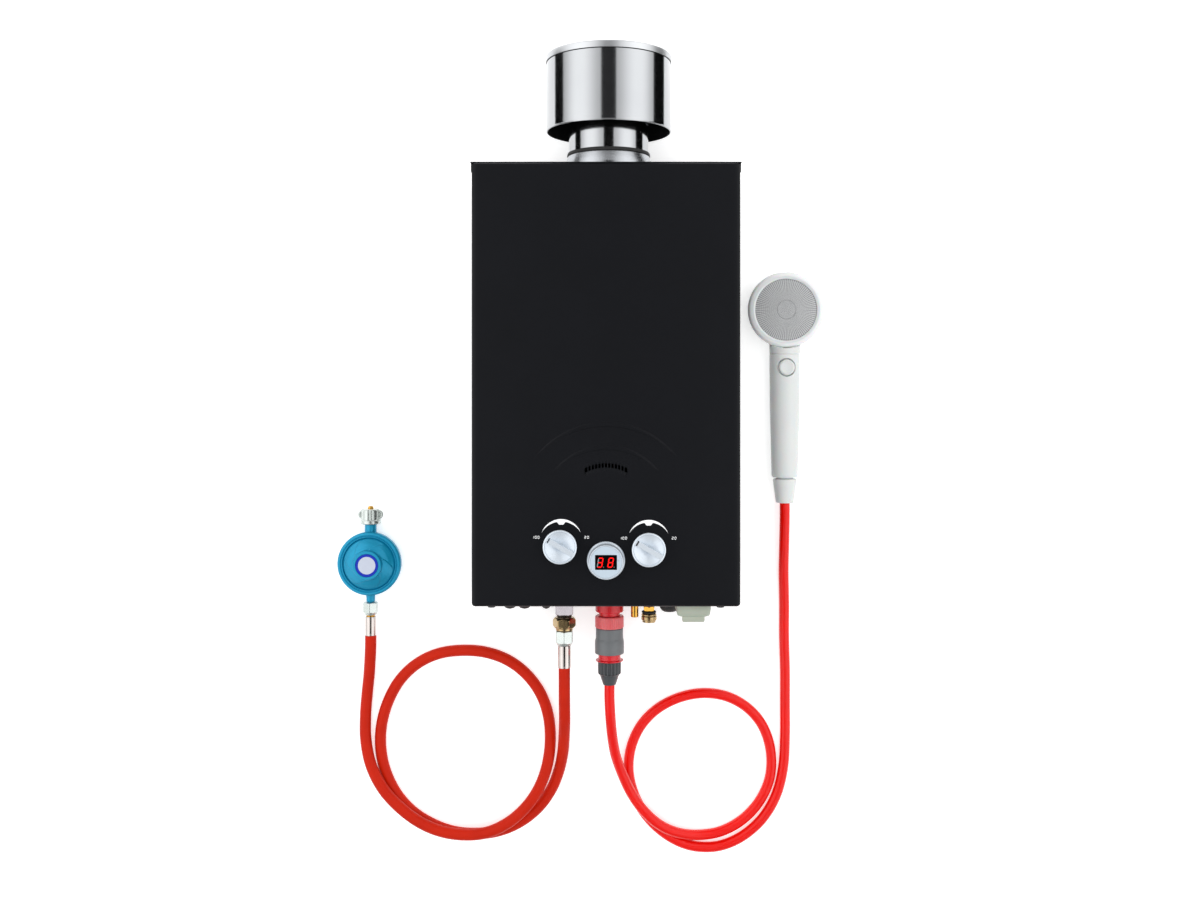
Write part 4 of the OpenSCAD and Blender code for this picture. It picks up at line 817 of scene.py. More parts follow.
    def plugs(self) -> None:
        """Blanking plugs: domes with a soft lip, each on its stem."""
        skin = Skin("blanking_plugs")
        stem = rounded([(0, -3.6), (5.3, -3.6, 0.3), (5.3, -1.3, 0.3), (4, -1.25), (4, 0.4), (0, 0.4)])
        for x, r, tall in ((-106, 7.9, 9.8), (-89.8, 7.9, 9.8), (-66, 6, 9.9)):
            dome = rounded([(0, 0), (r, 0, 0.5), (r, 3, 1.5), (r * 0.72, 8.2, 2), (0, tall)])
            skin.put(turned(dome, 48), (x, *self.plugs_at), Facing.DOWN)
            skin.put(turned(stem, 32), (x, *self.plugs_at), Facing.DOWN)
        self.shop.piece(skin.build(), RUBBER_AND_SHADE, "base_plugs", "black_rubber")


# ---- Hoses ----


@dataclass
class Hose:
    """A free hose: its route, its size and what it joins."""

    shop: Workshop
    name: str
    node: str
    finish: Finish
    slot: str
    radius: float
    route: list[Point]
    out: Point
    far_end: str
    fittings: tuple[str, ...]
    turns: int = 24

    def build(self) -> None:
        line = smooth_line(np.array(self.route, float), 8)
        run = travelled(line)
        uv = np.stack(np.meshgrid(np.linspace(0, 1, self.turns + 1), run * MM), -1)
        made = Skin(self.name).grid(piped(line, self.radius, self.turns), uv=uv).build(merge=1e-8)
        self.shop.piece(made, self.finish, self.node, self.slot)


GAS_ROUTE = [(-48, -327, 52), (-48, -346, 52), (-48, -366, 50), (-48, -388, 43), (-49, -411, 31),
             (-51, -435, 19), (-56, -459, 10), (-65, -482, 6.8), (-80, -503, 6.7), (-101, -520, 6.7),
             (-126, -531, 6.7), (-153, -535, 6.7), (-180, -533, 6.7), (-206, -524, 6.7), (-230, -509, 6.7),
             (-249, -488, 6.7), (-262, -462, 6.7), (-268, -434, 6.7), (-267, -405, 6.7), (-259, -377, 6.7),
             (-245, -352, 6.7), (-225, -333, 6.7), (-200, -321, 6.7), (-172, -317, 6.7), (-144, -319, 6.7),
             (-118, -328, 6.7), (-96, -344, 6.7), (-79, -366, 7), (-69, -392, 8.5), (-66, -420, 12),
             (-69, -448, 17), (-78, -474, 20.5), (-93, -497, 21), (-114, -516, 21), (-139, -528, 21),
             (-166, -531, 21), (-194, -527, 21), (-220, -516, 21), (-244, -498, 20.8), (-264, -476, 19.5),
             (-278, -450, 16), (-285, -422, 10.5), (-286, -394, 7.2), (-284, -368, 7.6), (-281, -344, 11),
             (-279, -323, 15), (-278, -308, 17), (-278, -297, 17)]
WATER_ROUTE = [(4, -346, 52), (4, -362, 52), (5, -383, 49), (7, -408, 40), (11, -434, 29), (19, -459, 21),
               (30, -483, 18.8), (45, -504, 18.6), (64, -521, 17.6), (87, -532, 13.4), (112, -536, 8),
               (138, -532, 6.1), (163, -518, 6.1), (183, -496, 6.1), (195, -468, 6.1), (196, -437, 6.1),
               (187, -408, 6.1), (169, -386, 6.1), (144, -372, 6.1), (116, -368, 6.1), (88, -373, 6.1),
               (62, -386, 6.1), (42, -406, 6.1), (30, -432, 6.1), (27, -460, 6.1), (33, -487, 6.1),
               (46, -511, 6.1), (65, -531, 6.1), (88, -545, 6.1), (112, -551, 6.1), (138, -549, 6.1),
               (164, -537, 6.1), (187, -516, 6.1), (203, -488, 6.1), (211, -455, 6.1), (213, -419, 6.1),
               (213, -380, 6.1), (213, -340, 6.1), (212, -300, 6.1), (212, -260, 6.5), (211, -222, 9),
               (211, -190, 13.5), (211, -162, 17.4), (211, -149, 18), (211, -140, 18)]


# ---- Flue and cap ----


@dataclass
class Flue:
    """The stainless flue: a skirt, a pipe, and a drum with its lid, open underneath."""

    shop: Workshop
    x: float = 3.0
    z: float = 72.5
    pipe_r: float = 45.0
    skirt_r: float = 47.5
    drum_r: float = 70.5
    drum_h: float = 80.0
    rim_y: float = 285.0
    lid_y: float = 365.0
    pipe_y: float = 224.8
    skirt_y: float = 240.0
    gap_shade_y: float = 257.2
    # Height of the dark ring that paints the gap's shade at the skirt's top
    screw_y: float = 248.5
    wall: float = 1.0
    stay_half: float = 6.8
    stay_t: float = 1.1

    def sheet(self, name: str, y: float, finish: Finish, node: str, corners: Sequence[Point], turns: int,
              extra: bool = False) -> None:
        """Makes a turned piece on the flue's axis, whose zero is at height y; the rest is as in Workshop.turn."""
        self.shop.turn(name, corners, (self.x, y, self.z), Facing.UP, finish, node, "stainless", extra, turns)

    def build(self) -> None:
        """Makes each sheet as a closed turned shell."""
        r, h, w, p, s = self.drum_r, self.drum_h, self.wall, self.pipe_r, self.skirt_r
        self.sheet("cap_drum_sheet", self.rim_y, STAINLESS, "cap_drum", [
            (r - w, 0), (r - 0.1, 0, 0.2), (r + 0.3, 0.7, 0.3), (r, 1.5, 0.3), (r, h), (r - w, h),
            (r - w, 0)], 160)
        # A dark lining inside the drum: painted shade over its stainless inside
        self.sheet("cap_shade_lining", self.rim_y, PAINTED_SHADE_STEEL, "cap_drum", [
            (r - 1.5, 0.4), (r - 1.05, 0.4, 0.1), (r - 1.05, h - 1, 0.1), (1, h - 1), (1, h - 1.5),
            (r - 1.5, h - 1.5, 0.1), (r - 1.5, 0.4)], 96, True)
        self.sheet("cap_lid_disc", self.lid_y, BRUSHED_LID, "cap_lid", [
            (0, 1.6), (r - 9, 0.6, 1), (r - 7, -1, 0.5), (r - w - 0.3, -1, 0.1), (r - w - 0.3, 0, 0.1),
            (r + 0.1, 0), (r + 0.1, -1.6), (r + 0.7, -1.6, 0.2), (r + 0.7, 5.2, 0.6), (r - 0.4, 6, 0.4),
            (r - 1.4, 5.4, 0.4), (r - 4, 2.4, 1.2), (0, 3.4)], 160)
        # A thin dark ring just under the lid's rolled rim: painted shade
        self.sheet("lid_rim_shade_ring", self.lid_y, PAINTED_SHADE_STEEL, "cap_lid", [
            (r + 0.02, -2.5), (r + 0.4, -2.4), (r + 0.4, -1.7), (r + 0.02, -1.7), (r + 0.02, -2.5)],
            160, True)
        self.sheet("flue_sheet", self.pipe_y, STAINLESS, "flue_pipe", [
            (p - w, 0), (p, 0, 0.2), (p, 80.2, 0.3), (p + 0.8, 81.2, 0.4), (p, 82.2, 0.3), (p - w, 82.2, 0.2),
            (p - w, 0)], 128)
        # A dark ring where the pipe leaves the top of the skirt: painted shade of the gap there
        self.sheet("flue_gap_shade_ring", self.gap_shade_y, RUBBER_AND_SHADE, "flue_skirt", [
            (p + 0.05, 0), (p + 2.2, 0, 0.3), (p + 1.6, 3.8, 0.8), (p + 0.05, 3.8), (p + 0.05, 0)], 96, True)
        self.sheet("flue_skirt_sheet", self.skirt_y, PRESSED_STAINLESS, "flue_skirt", [
            (p + 0.3, 0), (s + 5, 0, 0.3), (s + 5, 1, 0.3), (s + 2.6, 1.6, 0.5), (s + 2.6, 5, 0.7),
            (s + 1.4, 9.5, 1.5), (s - 0.9, 16.4, 0.5), (s - 1.3, 17, 0.2), (p + 0.3, 17, 0.2), (p + 0.3, 0)], 128)
        screws = Skin("skirt_screws")
        head = rounded([(0, -0.5), (2.1, -0.5, 0.2), (2.1, 0.6, 0.5), (1.3, 1.3, 0.4), (0, 1.3)])
        for facing, side in ((Facing.RIGHT, 1), (Facing.LEFT, -1)):
            screws.put(turned(head, 24), (self.x + side * (s + 1.4), self.screw_y, self.z), facing)
        self.shop.piece(screws.build(), BLACK_ZINC, "flue_skirt", "stainless", True)
        self.stays()

    def stays(self) -> None:
        """Pressed stays: each is a strip that goes out from the pipe and up the drum, with a crowned web."""
        inner, outer = self.pipe_r + 0.2, self.drum_r - self.wall - 0.6
        skin = Skin("cap_stay_strips")
        line = smooth_line(np.array([(inner, 8), (inner + 0.2, 12.2), (inner + 2, 13.6), (outer - 4, 13.6),
                                     (outer - 0.6, 15), (outer - 0.3, 20)]), 6)
        across = np.linspace(-self.stay_half, self.stay_half, 9)
        r = line[:, :1] + 0 * across
        crown = 0.7 * np.cos(across / self.stay_half * np.pi / 2) * soft_step((r - inner) / 6)
        top = np.stack([r, 0 * r + across, line[:, 1:] + crown * soft_step((outer - r) / 6)], -1)
        low = top - [0, 0, self.stay_t]
        low[:, :, 0] += 0.9 * soft_step((inner + 2 - r) / 2) - 0.2
        band = np.concatenate([top, low[:, ::-1]], 1)
        for turn in np.radians([-10, 110, 230]):
            spin = np.eye(3)
            spin[:2, :2] = rotation(turn)
            skin.put(band @ spin, (self.x, self.rim_y, self.z), Facing.UP)
        self.shop.piece(skin.build(), PRESSED_STAINLESS, "cap_stays", "stainless")


# ---- Controls ----


@dataclass
class Knob:
    """A silver knob: two conical finger scoops leave a grip rib with a notch at its upper end."""

    shop: Workshop
    name: str
    node: str
    x: float
    y: float
    # Half length of the dark bar over the notch, which is painted shade
    notch_shade: float
    base_z: float = 145.3
    radius: float = 18.2
    height: float = 19.7
    rib: float = 5.6
    tilt: float = -30.0
    scoop: float = 8.6
    notch: float = 14.0
    notch_depth: float = 2.6
    lip: float = 1.4
    turns: int = 320

    def top(self, x: np.ndarray, y: np.ndarray) -> np.ndarray:
        """Height of the top: full height, less a cone outside the rib, less the notch across the rib.

        Args:
            x: Sideways from the knob's axis.
            y: Up from the knob's axis.

        Returns:
            The heights.
        """
        turn = np.radians(self.tilt)
        along = x * np.cos(turn) + y * np.sin(turn)
        across = np.abs(y * np.cos(turn) - x * np.sin(turn))
        r = np.hypot(x, y)
        rim = self.radius - 1.55
        cone = self.scoop * (1 - r / (rim + 4.5))
        outside = soft_step((across - self.rib / 2 + 0.1) / 0.4) * soft_step((rim - r) / 0.8)
        cut = soft_step(1.6 - np.abs(along + self.notch) / 0.55) * soft_step((self.rib / 2 + 0.3 - across) / 0.4)
        return self.height - cone * outside - self.notch_depth * cut * (1 - outside)

    def build(self) -> None:
        """Makes the knob as one closed surface: a turned side, then rings whose heights are the top's."""
        r, h = self.radius, self.height
        side = rounded([(0, 0), (r - 2.6, 0, 0.3), (r - 2.3, 0.6, 0.3), (r - 2.2, 3, 0.6), (r - 0.4, h - 4.5, 1.5),
                        (r, h - 2.4, 0.8), (r - 0.2, h - 0.6, 0.5), (r - self.lip, h, 0.6)], 7)[:-1]
        lid = spun(np.arange(r - self.lip, 0, -0.25)[:, None], 0, around(self.turns))
        lid[..., 2] = self.top(lid[..., 0], lid[..., 1])
        middle = np.broadcast_to([0.0, 0.0, h], (1, self.turns, 3))
        self.shop.shell(self.name, np.concatenate([turned(side, self.turns), lid, middle]),
                        (self.x, self.y, self.base_z), Facing.FRONT, SILVER_ABS, self.node, "silver_plastic")
        # A dark bar laid over the notch is painted shade: it stands in for the shade inside the notch
        bar = np.array([(-1, -1), (1, -1), (1, 1), (-1, 1)]) * [self.notch_shade, self.rib / 2 - 0.1] - [self.notch, 0]
        bar = bar @ rotation(np.radians(self.tilt)) + [self.x, self.y]
        top = self.base_z + h + 0.02
        self.shop.piece(Skin(self.name + "_notch_shade").grid(plate(bar, top - 0.9, top)).build(), RUBBER_AND_SHADE, self.node,
                        "silver_plastic", True)


class Segment(Enum):
    """The strokes of a number, as the middle and the direction of each in half heights: x, y, upright."""

    TOP = (0, 1, 0)
    HIGH_LEFT = (-0.5, 0.5, 1)
    HIGH_RIGHT = (0.5, 0.5, 1)
    MIDDLE = (0, 0, 0)
    LOW_LEFT = (-0.5, -0.5, 1)
    LOW_RIGHT = (0.5, -0.5, 1)
    FOOT = (0, -1, 0)


NUMBERS = {0: tuple(s for s in Segment if s is not Segment.MIDDLE),
           1: (Segment.HIGH_RIGHT, Segment.LOW_RIGHT),
           2: (Segment.TOP, Segment.HIGH_RIGHT, Segment.MIDDLE, Segment.LOW_LEFT, Segment.FOOT),
           3: (Segment.TOP, Segment.HIGH_RIGHT, Segment.MIDDLE, Segment.LOW_RIGHT, Segment.FOOT),
           8: tuple(Segment)}


def strokes(skin: Skin, number: Sequence[Segment], centre: Point, height: float, width: float, thick: float,
            lift: tuple[float, float], slant: float = 0.0) -> None:
    """Adds a number made of bars with pointed ends: each is a hexagon, leaned over by x += slant y.

    Args:
        skin: What it is added to.
        number: Which strokes it has.
        centre: Its middle, x and y.
        height: Between the middles of its top and its foot.
        width: Between the middles of its two sides.
        thick: Thickness of a stroke.
        lift: Heights of the strokes' undersides and tops.
        slant: How far it leans.
    """
    t = thick / 2
    for stroke in number:
        sx, sy, upright = stroke.value
        half = (height / 2 if upright else width) / 2 - 0.1 * thick
        bar = np.array([(-half, 0), (t - half, -t), (half - t, -t), (half, 0), (half - t, t), (t - half, t)])
        bar = (bar[:, ::-1] * [-1, 1] if upright else bar) + [sx * width, sy * height / 2]
        bar[:, 0] += slant * bar[:, 1]
        skin.grid(plate(bar + np.array(centre), *lift))


@dataclass
class Display:
    """The round display: a bezel, a pale face, a smoked window and lit digits."""

    shop: Workshop
    x: float = 0.0
    y: float = -189.5
    z: float = 145.0
    height: float = 16.0
    radius: float = 18.5
    base: float = 20.5
    recess: float = 0.8
    window: tuple[float, float] = (23.4, 15.8)
    figures: tuple[tuple[int, float], ...] = ((3, -6.2), (8, 4.9))
    ink: float = 0.08

    def build(self) -> None:
        """Makes the bezel, the face, the window and the digits."""
        h, r, b = self.height, self.radius, self.base
        self.shop.turn("display_ring", [
            (0, 0), (b - 0.3, 0, 0.2), (b, 0.5, 0.2), (b, 2.6, 0.5), (b - 0.9, 3.4, 0.4), (r + 0.3, 3.5, 0.3),
            (r, h - 1.2, 0.6), (r - 0.5, h, 0.5), (r - 1.25, h, 0.2), (r - 1.4, h - self.recess, 0.1),
            (0, h - self.recess)], (self.x, self.y, self.z), Facing.FRONT, SILVER_ABS, "display_bezel",
            "silver_plastic", turns=160)
        self.face()
        w, t = self.window
        low = self.z + h - self.recess
        glass = boxed(w - 0.1, t - 0.1, 0.6, rounded([(0, low), (0, low + 0.55, 0.1), (0.25, low + 0.6)], 3))
        self.shop.shell("display_glass", glass, (self.x, self.y, 0), Facing.FRONT, SMOKED_ACRYLIC, "display_window",
                        "dark_window")
        self.digits(low + 0.6)

    def face(self) -> None:
        """The face plate: rows go from the round rim to the window's rounded outline, and round underneath."""
        hole = outline(*self.window, 0.8, 6, 14)
        angle = np.arctan2(hole[:, 1], hole[:, 0])
        disc = np.stack([np.cos(angle), np.sin(angle)], -1)
        low, top, rim = self.height - self.recess, self.height - 0.1, self.radius - 1.75
        outer = np.stack([level(disc * r, z) for r, z in
                          ((rim, low), (rim, top - 0.25), (rim - 0.08, top - 0.08), (rim - 0.25, top))])
        inner = np.stack([level(hole * s, z) for s, z in
                          ((1.02, top), (1.004, top - 0.06), (1.0, top - 0.2), (1.0, low))])
        t = np.linspace(0, 1, 6)[1:-1, None, None]
        grid = np.concatenate([outer, outer[-1] * (1 - t) + inner[0] * t, inner, outer[:1]])
        self.shop.shell("display_face", grid, (self.x, self.y, self.z), Facing.FRONT, FACE_ABS, "display_bezel",
                        "silver_plastic", True)
        ring = rounded([(0.85, top), (0.85, top + 0.05), (0.5, top + 0.05), (0.5, top), (0.85, top)], 2)
        self.shop.shell("degree_ring", turned(ring, 32), (self.x + 13.1, self.y + 2.0, self.z), Facing.FRONT, GREY_INK,
                        "display_bezel", "silver_plastic", True)

    def digits(self, z: float) -> None:
        """Lit and unlit strokes of a plain two-figure number, and their two dots."""
        lit, dark = Skin("lit_digits"), Skin("unlit_digits")
        lift = (z, z + self.ink)
        for number, x in self.figures:
            for skin, wanted in ((lit, True), (dark, False)):
                order = [s for s in Segment if (s in NUMBERS[number]) == wanted]
                strokes(skin, order, (self.x + x, self.y - 0.2), 9.6, 4.7, 1.15, lift, 0.17)
            dot = np.array([(-0.4, -0.4), (0.4, -0.4), (0.4, 0.4), (-0.4, 0.4)]) + [self.x + x + 3.6, self.y - 5]
            dark.grid(plate(dot, *lift))
        self.shop.piece(lit.build(), LIT_SEGMENT, "display_bezel", "dark_window", True)
        self.shop.piece(dark.build(), DARK_SEGMENT, "display_bezel", "dark_window", True)


@dataclass
class Dials:
    """White marks on the cover: over each knob a crescent with a tab, and a plain number beside each end."""

    shop: Workshop
    centres: tuple[Point, ...] = ((-48.2, -159.6), (45.9, -160.5))
    figures: tuple[tuple[tuple[int, ...], int], ...] = (((1, 0, 0), -1), ((2, 0), 1))
    half_span: float = 20.9
    rise: float = 14.4
    thick: float = 2.2
    figure_x: float = 27.3
    figure_y: float = -5.2
    figure_gap: float = 2.9
    lift: tuple[float, float] = (145.0, 145.06)

    def arc(self, x: np.ndarray, rise: float) -> np.ndarray:
        """The circle through the two ends and a rise in the middle: y = sqrt(R^2 - x^2) - R + rise."""
        r = (self.half_span**2 + rise**2) / (2 * rise)
        return np.sqrt(np.maximum(r**2 - x**2, 0)) - r + rise

    def crescent(self) -> Grid:
        """One crescent: its two rows are the inner arc, which bulges by the tab, and the outer arc.

        Returns:
            Rows of x and y, from left to right.
        """
        x = np.sin(np.linspace(-1, 1, 81) * np.pi / 2) * self.half_span
        low = self.arc(x, self.rise - self.thick) - 0.5 * (1 - (x / self.half_span) ** 2)
        tab = 3.3 * soft_step((4.9 - np.abs(x)) / 3.0)
        return np.stack([np.c_[x, low - tab], np.c_[x, self.arc(x, self.rise)]])

    def build(self) -> None:
        """Makes the marks as one thin print."""
        skin = Skin("dial_marks")
        for x, y in self.centres:
            low, high = (np.stack([level(line + [x, y], z) for line in self.crescent()]) for z in self.lift)
            skin.grid(np.concatenate([low, high[::-1], low[:1]]).transpose(1, 0, 2))
            for figures, side in self.figures:
                for place, number in enumerate(figures):
                    shift = (place - (len(figures) - 1) / 2) * self.figure_gap
                    centre = (x + side * self.figure_x + shift, y + self.figure_y)
                    strokes(skin, NUMBERS[number], centre, 2.5, 1.6, 0.55, self.lift)
        self.shop.piece(skin.build(), WHITE_INK, "front_cover", "white_label", True)


# ---- Gas side ----


@dataclass
class GasFittings:
    """The stacked fittings under the gas inlet, and the nut, collar and ferrule at the regulator."""

    shop: Workshop
    at: Point = (-48.0, 0.0, 52.0)
    port: Point = (-278.0, 0.0, 17.0)

    def build(self) -> None:
        """Makes the hexagons, nuts and crimped sleeves; heights run down from the middle of the casing."""
        inlet = Skin("inlet_union")
        for grid in (
            turned(rounded([(0, 203), (7.6, 203, 0.4), (7.6, 258.2), (0, 258.2)]), 48),
            faceted(rounded([(0, 252), (9.2, 252, 0.2), (11.6, 253, 0.4), (11.6, 264.4, 0.5), (9.6, 265.5, 0.4),
                             (8.4, 268, 0.4), (6.3, 268.2, 0.2), (6.3, 283.7, 0.2), (0, 283.7)]), 20.3, 30),
            faceted(rounded([(0, 238.5), (11.7, 238.5, 0.2), (11.7, 244.4, 0.3), (0, 244.4)]), 20.3, 30),
        ):
            inlet.put(grid, self.at, Facing.DOWN)
        self.shop.piece(inlet.build(), NICKEL, "gas_inlet", "nickel")
        union = rounded([(6.36, 268.5), (10.9, 268.5, 0.6), (13.3, 271.2, 1.2), (13.3, 278, 1.2),
                         (11.2, 280.6, 0.7), (9.9, 281, 0.3), (9.9, 283.2, 0.4), (6.36, 283.5, 0.1),
                         (6.36, 268.5)], 7)
        self.shop.shell("union_nut_skin", faceted(union, 23.3, 4), self.at, Facing.DOWN, AGED_BRASS, "gas_union_nut",
                        "dark_brass")
        nut = rounded([(0, 283.8), (9.0, 283.8, 0.4), (10.9, 285, 0.6), (10.9, 297, 0.7), (9.3, 298.2, 0.4),
                       (8.2, 300.8, 0.5), (0, 300.8)])
        self.shop.shell("hose_nut_skin", faceted(nut, 19.2, 30), self.at, Facing.DOWN, ZINC, "gas_hose_nut", "zinc")
        self.ferrule("gas_ferrule_skin", "gas_ferrule", self.at, 300.8, 26.2, 7.6)
        self.ferrule("regulator_ferrule_skin", "regulator_ferrule", self.port, 274.1, 22.9, 6.6)
        nut = rounded([(4.06, 257.3), (7.6, 257.3, 0.4), (9.2, 258.4, 0.5), (9.2, 268.6, 0.5), (7.9, 269.8, 0.4),
                       (7.0, 272.4, 0.4), (4.06, 272.6, 0.1), (4.06, 257.3)])
        self.shop.shell("regulator_nut_skin", faceted(nut, 16.4, 30), self.port, Facing.DOWN, ZINC, "regulator_nut",
                        "zinc")
        self.shop.turn("brass_collar", [(0, 272.75), (5.2, 272.75, 0.2), (5.2, 274.0, 0.2), (0, 274.0)],
                       self.port, Facing.DOWN, BRASS, "regulator_ferrule", "brass", True, 48)

    def ferrule(self, name: str, node: str, spot: Point, start: float, length: float, r: float) -> None:
        """A crimped sleeve: a smooth barrel whose radius dips a little near each end and rolls in at its ends.

        Args:
            name: The new piece.
            node: The CAD node that it stands for.
            spot: The zero of its axis.
            start: Where it begins, down from the middle of the casing.
            length: Its length.
            r: Its radius.
        """
        t = np.linspace(0, 1, 60)
        dips = sum(np.exp(-(((t - at) / 0.03) ** 2)) for at in (0.06, 0.94))
        off_round = 1 - np.clip(np.minimum(t, 1 - t) * length / 1.1, 0, 1)
        barrel = r - 0.16 * dips - 0.9 * (1 - np.sqrt(np.clip(1 - off_round**2, 0, 1)))
        rows = np.vstack([[0, start], np.c_[barrel, start + t * length], [0, start + length]])
        self.shop.shell(name, turned(rows, 64), spot, Facing.DOWN, FERRULE, node, "nickel")


@dataclass
class Regulator:
    """The blue regulator: bowl and necks, a lid with overlapping blades, a label, a hand wheel and a nipple."""

    shop: Workshop
    x: float = -278.0
    y: float = -211.0
    port_z: float = 17.0
    radius: float = 37.0
    bowl: float = 24.0
    cover: float = 18.0
    blades: int = 6
    blade_step: float = 0.85

    def build(self) -> None:
        """Makes every piece of the regulator."""
        r, b = self.radius, self.bowl
        top = b + self.cover
        spot = (self.x, self.y, 0)
        body = Skin("regulator_bowl")
        body.put(turned(rounded([
            (0, 0), (r - 10, 0, 1), (r - 6.5, 2, 1.5), (r - 5, 6, 1.5), (r - 4.5, b - 7.4, 0.8),
            (r - 0.8, b - 6.2, 0.5), (r, b - 5.2, 0.5), (r, b, 0.2), (0, b)]), 144), spot)
        for side, facing, neck in (
            (1, Facing.UP, [(0, 0), (9.4, 0), (8.2, 3.6, 1.5), (6.9, 6, 2), (6.9, 16.1, 0.4), (0, 16.5)]),
            (-1, Facing.DOWN, [(0, 0), (7.4, 0), (5.3, 8, 3), (5.1, 16.6, 0.4), (4, 17, 0.2), (4, 27.4, 0.2),
                               (0, 27.4)]),
        ):
            body.put(turned(rounded(neck), 64), (self.x, self.y + side * (r - 8), self.port_z), facing)
        self.shop.piece(body.build(), BLUE_LACQUER, "regulator_body", "blue_paint")
        self.lid()
        self.shop.turn("label_disc", [(0, top - 1.2), (10.2, top - 1.2), (10.2, top - 0.55, 0.1),
                                      (9.9, top - 0.5, 0.2), (0, top - 0.45)],
                       spot, Facing.FRONT, WHITE_LABEL, "regulator_label", "white_label")
        self.shop.turn("label_border", [(10.25, top - 1.2), (13.2, top - 1.2, 0.1), (13.2, top - 0.35, 0.1),
                                        (10.25, top - 0.35, 0.1), (10.25, top - 1.2)],
                       spot, Facing.FRONT, BLUE_INK, "regulator_label", "white_label", True)
        self.wheel()
        self.shop.turn("brass_nipple", [(0, 0), (3.3, 0), (3.3, 19.6, 0.3), (2.6, 21.3, 0.5), (1.1, 21.3, 0.1),
                                        (1.1, 18), (0, 18)], (self.x, self.y + r + 8.5, self.port_z), Facing.UP,
                       BRASS, "regulator_nipple", "brass", turns=48)

    def lid(self) -> None:
        """The lid: a rolled rim, a groove, then a dome on which each blade is a ramp that ends in a step.

        The ramp is the angle's remainder after a sixth of a turn, with its start carried round as the
        radius grows, so the steps run outwards in curves. It fades in at the boss and out at the rim.
        """
        rows = rounded([(0, 0), (37, 0, 0.3), (37.3, 1, 0.4), (37.3, 3.4, 0.8), (35.6, 5.0, 0.8), (33.7, 5.0, 0.5),
                        (33.1, 3.9, 0.3), (32.5, 4.0, 0.3), (32.0, 5.3, 0.4), (31.2, 5.3, 0.3), (30.7, 3.2, 0.5)], 7)
        r = np.r_[np.arange(30.4, 18.2, -0.35), np.arange(18.2, 13.4, -0.2), 13.35, 13.3, 12, 6, 0][:, None]
        angle = around(360)
        dome = np.interp(r, [0, 13.3, 13.35, 13.6, 16.2, 16.9, 17.3, 17.7, 24, 29, 30.7],
                         [16.8, 16.8, 17.4, 17.9, 17.8, 17.2, 13.4, 13.0, 9.4, 5.6, 3.2])
        start = np.radians(92) - np.radians(38) * np.clip((r - 17) / 11, 0, 1.2) ** 0.8
        step = TAU / self.blades
        ramp = ((angle - start) % step) / step
        saw = np.minimum(ramp, (1 - ramp) / 0.035)
        fade = soft_step((r - 17.4) / 1.5) * soft_step((30.2 - r) / 4)
        top = spun(r, dome + self.blade_step * (saw - 0.5) * fade, angle)
        self.shop.shell("regulator_lid", np.concatenate([turned(rows, 360), top]), (self.x, self.y, self.bowl),
                        Facing.FRONT, BLUE_LACQUER, "regulator_cover", "blue_paint")

    def wheel(self) -> None:
        """The hand wheel: a collar, a fluted hub and a ring-shaped ear at each side."""
        origin = (self.x, self.y + self.radius + 8.8, self.port_z)
        hub = gripped([(3.4, 0), (11.6, 0, 0.5), (12.3, 1, 0.4), (12.3, 4.2, 0.6), (10.9, 5.4, 0.6),
                       (10.9, 16.6, 0.8), (9.6, 17.7, 0.6), (3.4, 17.7, 0.2), (3.4, 0)], 1.2, 5.6, 18.0, 0.8, 8)
        skin = Skin("wheel_skin").put(grooved(hub, 6, 1.1, 5, -90), origin, Facing.UP)
        ear = rounded([(0, 0.9), (2.6, 0.9, 0.3), (3.3, 0, 0.4), (4.9, 0, 0.5), (5.6, 0.8, 0.5), (5.6, 3.8, 0.5),
                       (4.9, 4.6, 0.5), (3.3, 4.6, 0.4), (2.6, 3.7, 0.3), (0, 3.7)])
        for side in (-1, 1):
            skin.put(turned(ear, 64), (self.x + side * 9.3, origin[1] + 11.1, self.port_z - 2.3))
        self.shop.piece(skin.build(), ZINC, "regulator_wheel", "zinc")


# ---- Water side ----


